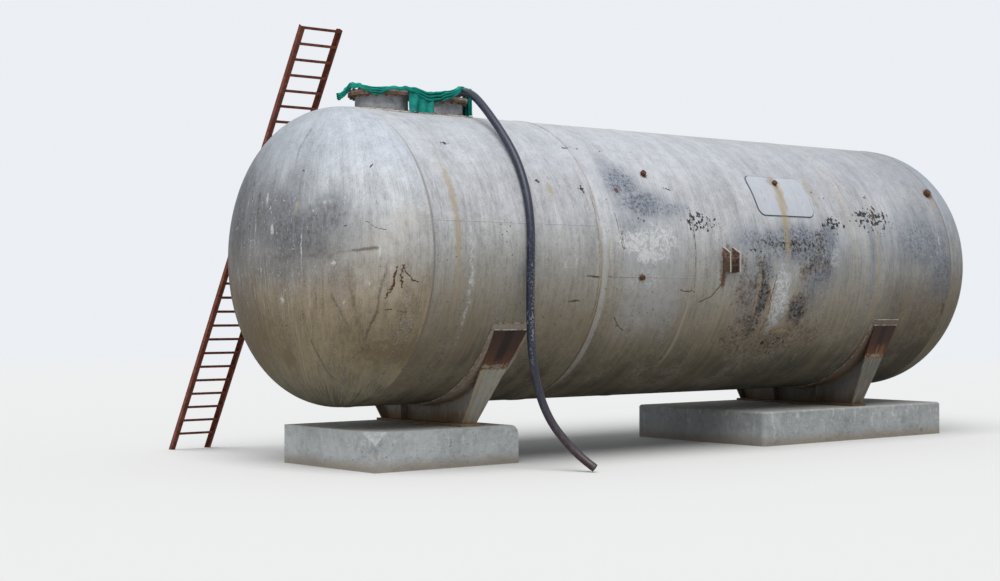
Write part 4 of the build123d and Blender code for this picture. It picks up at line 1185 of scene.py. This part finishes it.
def saddle_coat(name, sideways, rows):
    """Streaked paint coloured by height, with runs of rust that thicken towards the base plate, and
    painted shade that darkens the far saddle.

    sideways is how much the streaks' pattern goes by y. On a leaning horn it is 0, so they run down it."""
    material, shader, place = new_finish(name)
    weather = Weather(place, place.axis(0) * 1.1 + place.axis(1) * sideways, place.axis(2))
    level = place.axis(2)
    colour = level.over(0, 1.6, rows).shaded(weather.shade(1.0))
    runs = (weather.wide * 0.7 + weather.thin * 0.6).ease(0.56, 0.76) * (0.40 + level.ease(0.66, 0.42) * 0.55)
    colour = colour.mix((0.25, 0.165, 0.09), runs)
    # the far saddle is painted about half as bright: painted shade under the tank's far end
    colour = colour.mix((0.48, 0.48, 0.49), place.axis(0).ease(*far_half), "MULTIPLY")
    return material, shader, place, weather, colour


def speckled(shader, colour, weather):
    """Fine rust specks over a colour, which then goes into the shader."""
    specks = (weather.grain * 0.6 + weather.mottle * 0.6).ease(0.66, 0.78)
    colour = colour.mix((0.14, 0.08, 0.05), specks * 0.6)
    finish(shader, colour, 0.68, weather.grain * 0.4 + weather.mottle * 0.6 - specks * 0.3, 0.002)


# rows are height and colour
saddle_paint, shader, place, weather, colour = saddle_coat("saddle_paint", 1.0, (
    (0.40, (0.22, 0.14, 0.08)), (0.45, (0.30, 0.23, 0.16)), (0.55, (0.45, 0.445, 0.415)),
    (0.95, (0.46, 0.465, 0.46)), (1.25, (0.43, 0.41, 0.38)), (1.45, (0.42, 0.40, 0.37)),
))
reach = combine(place.axis(1), place.axis(2) - axis_height).vector("LENGTH", output=1)
hug = reach.ease(tank_radius + 0.05, tank_radius + 0.018) * place.axis(2).ease(1.42, 1.30, 0.25, 1.0)
hug = hug * (weather.mottle * 0.7 + weather.thin * 0.5).ease(0.42, 0.68)
colour = colour.mix((0.25, 0.155, 0.09), hug * 0.8)
speckled(shader, colour, weather)

horn_paint, shader, place, weather, colour = saddle_coat("horn_paint", 0.0, (
    (0.40, (0.24, 0.16, 0.09)), (0.46, (0.35, 0.30, 0.22)), (0.60, (0.41, 0.40, 0.345)),
    (0.98, (0.44, 0.43, 0.37)), (1.45, (0.40, 0.37, 0.32)),
))
colour = colour.mix((0.23, 0.185, 0.115), (weather.hair * 0.45 + weather.thin * 0.55).ease(0.50, 0.60) * 0.55)
colour = colour.mix((0.37, 0.405, 0.43), (weather.thin * 0.5 + weather.wide * 0.5).ease(0.49, 0.41) * 0.5)
level = place.axis(2) + (weather.thin - 0.5) * 0.10 + (weather.mottle - 0.5) * 0.07
burnt = level.ease(0.985, 1.003)
bare = level.over(0.9, 1.5, (
    (1.0, (0.16, 0.08, 0.035)), (1.08, (0.115, 0.046, 0.027)), (1.2, (0.068, 0.030, 0.022)),
    (1.4, (0.05, 0.028, 0.024)),
))
colour = colour.mix(bare, burnt * 0.95)
middle = abs(abs(place.axis(0) - saddle_spacing / 2) - saddle_spacing / 2).ease(0.085, 0.025)
middle = middle * (weather.thin * 0.6 + weather.mottle * 0.5).ease(0.36, 0.56)
colour = colour.mix((0.026, 0.024, 0.022), burnt * middle * level.ease(1.02, 1.14) * 0.85)
glow_middle = saddle_spacing + 0.05
glow = abs(place.axis(0) - glow_middle).ease(0.10, 0.03) * level.within(1.0, 1.15, 0.05)
colour = colour.mix((0.36, 0.17, 0.055), glow * weather.thin.ease(0.44, 0.56) * 0.8)
flaked = (weather.mottle * 0.5 + weather.grain * 0.5 + level.within(1.0, 1.05, 0.02) * 0.10).ease(0.585, 0.61)
colour = colour.mix((0.44, 0.41, 0.33), flaked * level.within(0.98, 1.07, 0.03) * 0.65)
speckled(shader, colour, weather)
plates, horns = ("wear_plate", "web", "inner_ribs", "base_plate"), ("front_horn", "back_horn")
for coat, parts in ((saddle_paint, plates), (horn_paint, horns)):
    dress(coat, *[f"{which}_saddle_{part}" for which in ("near", "far") for part in parts])

# %% Concrete
concrete, concrete_shader, place = new_finish("old_concrete")
cloud = place.noise(2.2, 5.0, 0.62)
mottle = place.noise(11.0, 6.0, 0.68)
grain = place.noise(70.0, 4.0, 0.65)
level = place.axis(2)
colour = (cloud * 0.5 + mottle * 0.5).ramp([
    (0.30, (0.29, 0.30, 0.295)), (0.42, (0.46, 0.48, 0.49)), (0.55, (0.57, 0.60, 0.615)),
    (0.75, (0.66, 0.68, 0.68)),
])
# the far plinth is painted darker by about a quarter: painted shade under the tank, as on the far saddle
colour = colour.shaded((0.86 + grain * 0.28) * place.axis(0).ease(*far_half, 1.0, 0.76))
runs = combine(place.axis(0) + place.axis(1), level * 0.25).noise(11.0, 6.0, 0.7)
lime = (runs * 0.7 + mottle * 0.5).ease(0.62, 0.72) * level.ease(0.12, 0.36, 0.3, 1.0)
colour = colour.mix((0.72, 0.73, 0.72), lime * 0.65)
scab = (mottle * 0.7 + grain * 0.4).ease(0.64, 0.71)
colour = colour.mix((0.24, 0.23, 0.20), scab * 0.6)
pores = place.cells(45.0).ease(0.16, 0.08) * place.cells(45.0, output=1).axis(1).ease(0.60, 0.66)
soil = level.ease(0.16, 0.0) * (0.3 + mottle)
top_dust = level.ease(0.385, 0.399)
colour = colour.mix((0.30, 0.25, 0.18), soil.least(0.75))
colour = colour.mix((0.50, 0.47, 0.41), top_dust * 0.5)
colour = colour.mix((0.10, 0.10, 0.095), pores * 0.8)
finish(concrete_shader, colour, 0.9, grain * 0.5 + mottle * 1.4 - pores * 0.8 - scab * 0.6, 0.011)
dress(concrete, "near_plinth", "far_plinth")

# %% The net's cloth
net_cloth, net_shader, place = new_finish("net_cloth")
cloud = place.noise(7.0, 4.0, 0.6)
fine = place.noise(60.0, 3.0, 0.6)
weave = place.vector("MULTIPLY", (420.0, 420.0, 420.0)).noise(1.0, 2.0, 0.5)
colour = cloud.ramp([(0.30, (0.002, 0.145, 0.115)), (0.50, (0.004, 0.27, 0.205)), (0.72, (0.02, 0.40, 0.31))])
streaks = combine(place.axis(0) * 5.0, place.axis(2) * 26.0).noise(1.0, 4.0, 0.6)
colour = colour.mix((0.006, 0.20, 0.27), (cloud * 0.4 + streaks * 0.7).ease(0.56, 0.68) * 0.7)
hung = place.axis(2).ease(3.86, 3.82)
colour = colour.shaded(0.70 + fine * 0.4 + streaks * 0.3 - hung * (0.10 + streaks * 0.35))
finish(net_shader, colour, 0.7, weave * 0.6 + fine * 0.4, 0.002)
dress(net_cloth, "green_net", "net_flap")

# %% The hose's rubber
hose_rubber, hose_shader, place = new_finish("hose_rubber")
level = place.axis(2)
runs = combine(place.axis(0) * 3.0, level * 0.25).noise(9.0, 4.0, 0.6)
fine = place.noise(45.0, 4.0, 0.6)
colour = level.over(0, 4.0, (
    (0.0, (0.050, 0.024, 0.024)), (0.25, (0.040, 0.026, 0.033)), (0.8, (0.020, 0.021, 0.036)),
    (1.8, (0.010, 0.014, 0.032)), (4.0, (0.015, 0.020, 0.040)),
))
dust = (runs * 0.6 + fine * 0.5).ease(0.52, 0.72)
colour = colour.mix((0.16, 0.175, 0.205), dust * 0.22)
worn = (runs * 0.5 + fine * 0.6).ease(0.56, 0.66) * level.within(1.2, 2.1, 0.4)
colour = colour.mix((0.33, 0.35, 0.38), worn * 0.6)
# the hose's end is capped, so a near-black disc on the cap stands for its hollow: painted shade
bore_radius = 0.0325
bore_shade = place.vector("DISTANCE", hose_route[-1], output=1).ease(bore_radius, bore_radius - 0.0015)
colour = colour.mix((0.004, 0.004, 0.005), bore_shade)
finish(hose_shader, colour, 0.36 + dust * 0.3, fine, 0.0006, gloss=0.45)
dress(hose_rubber, "hose_line")
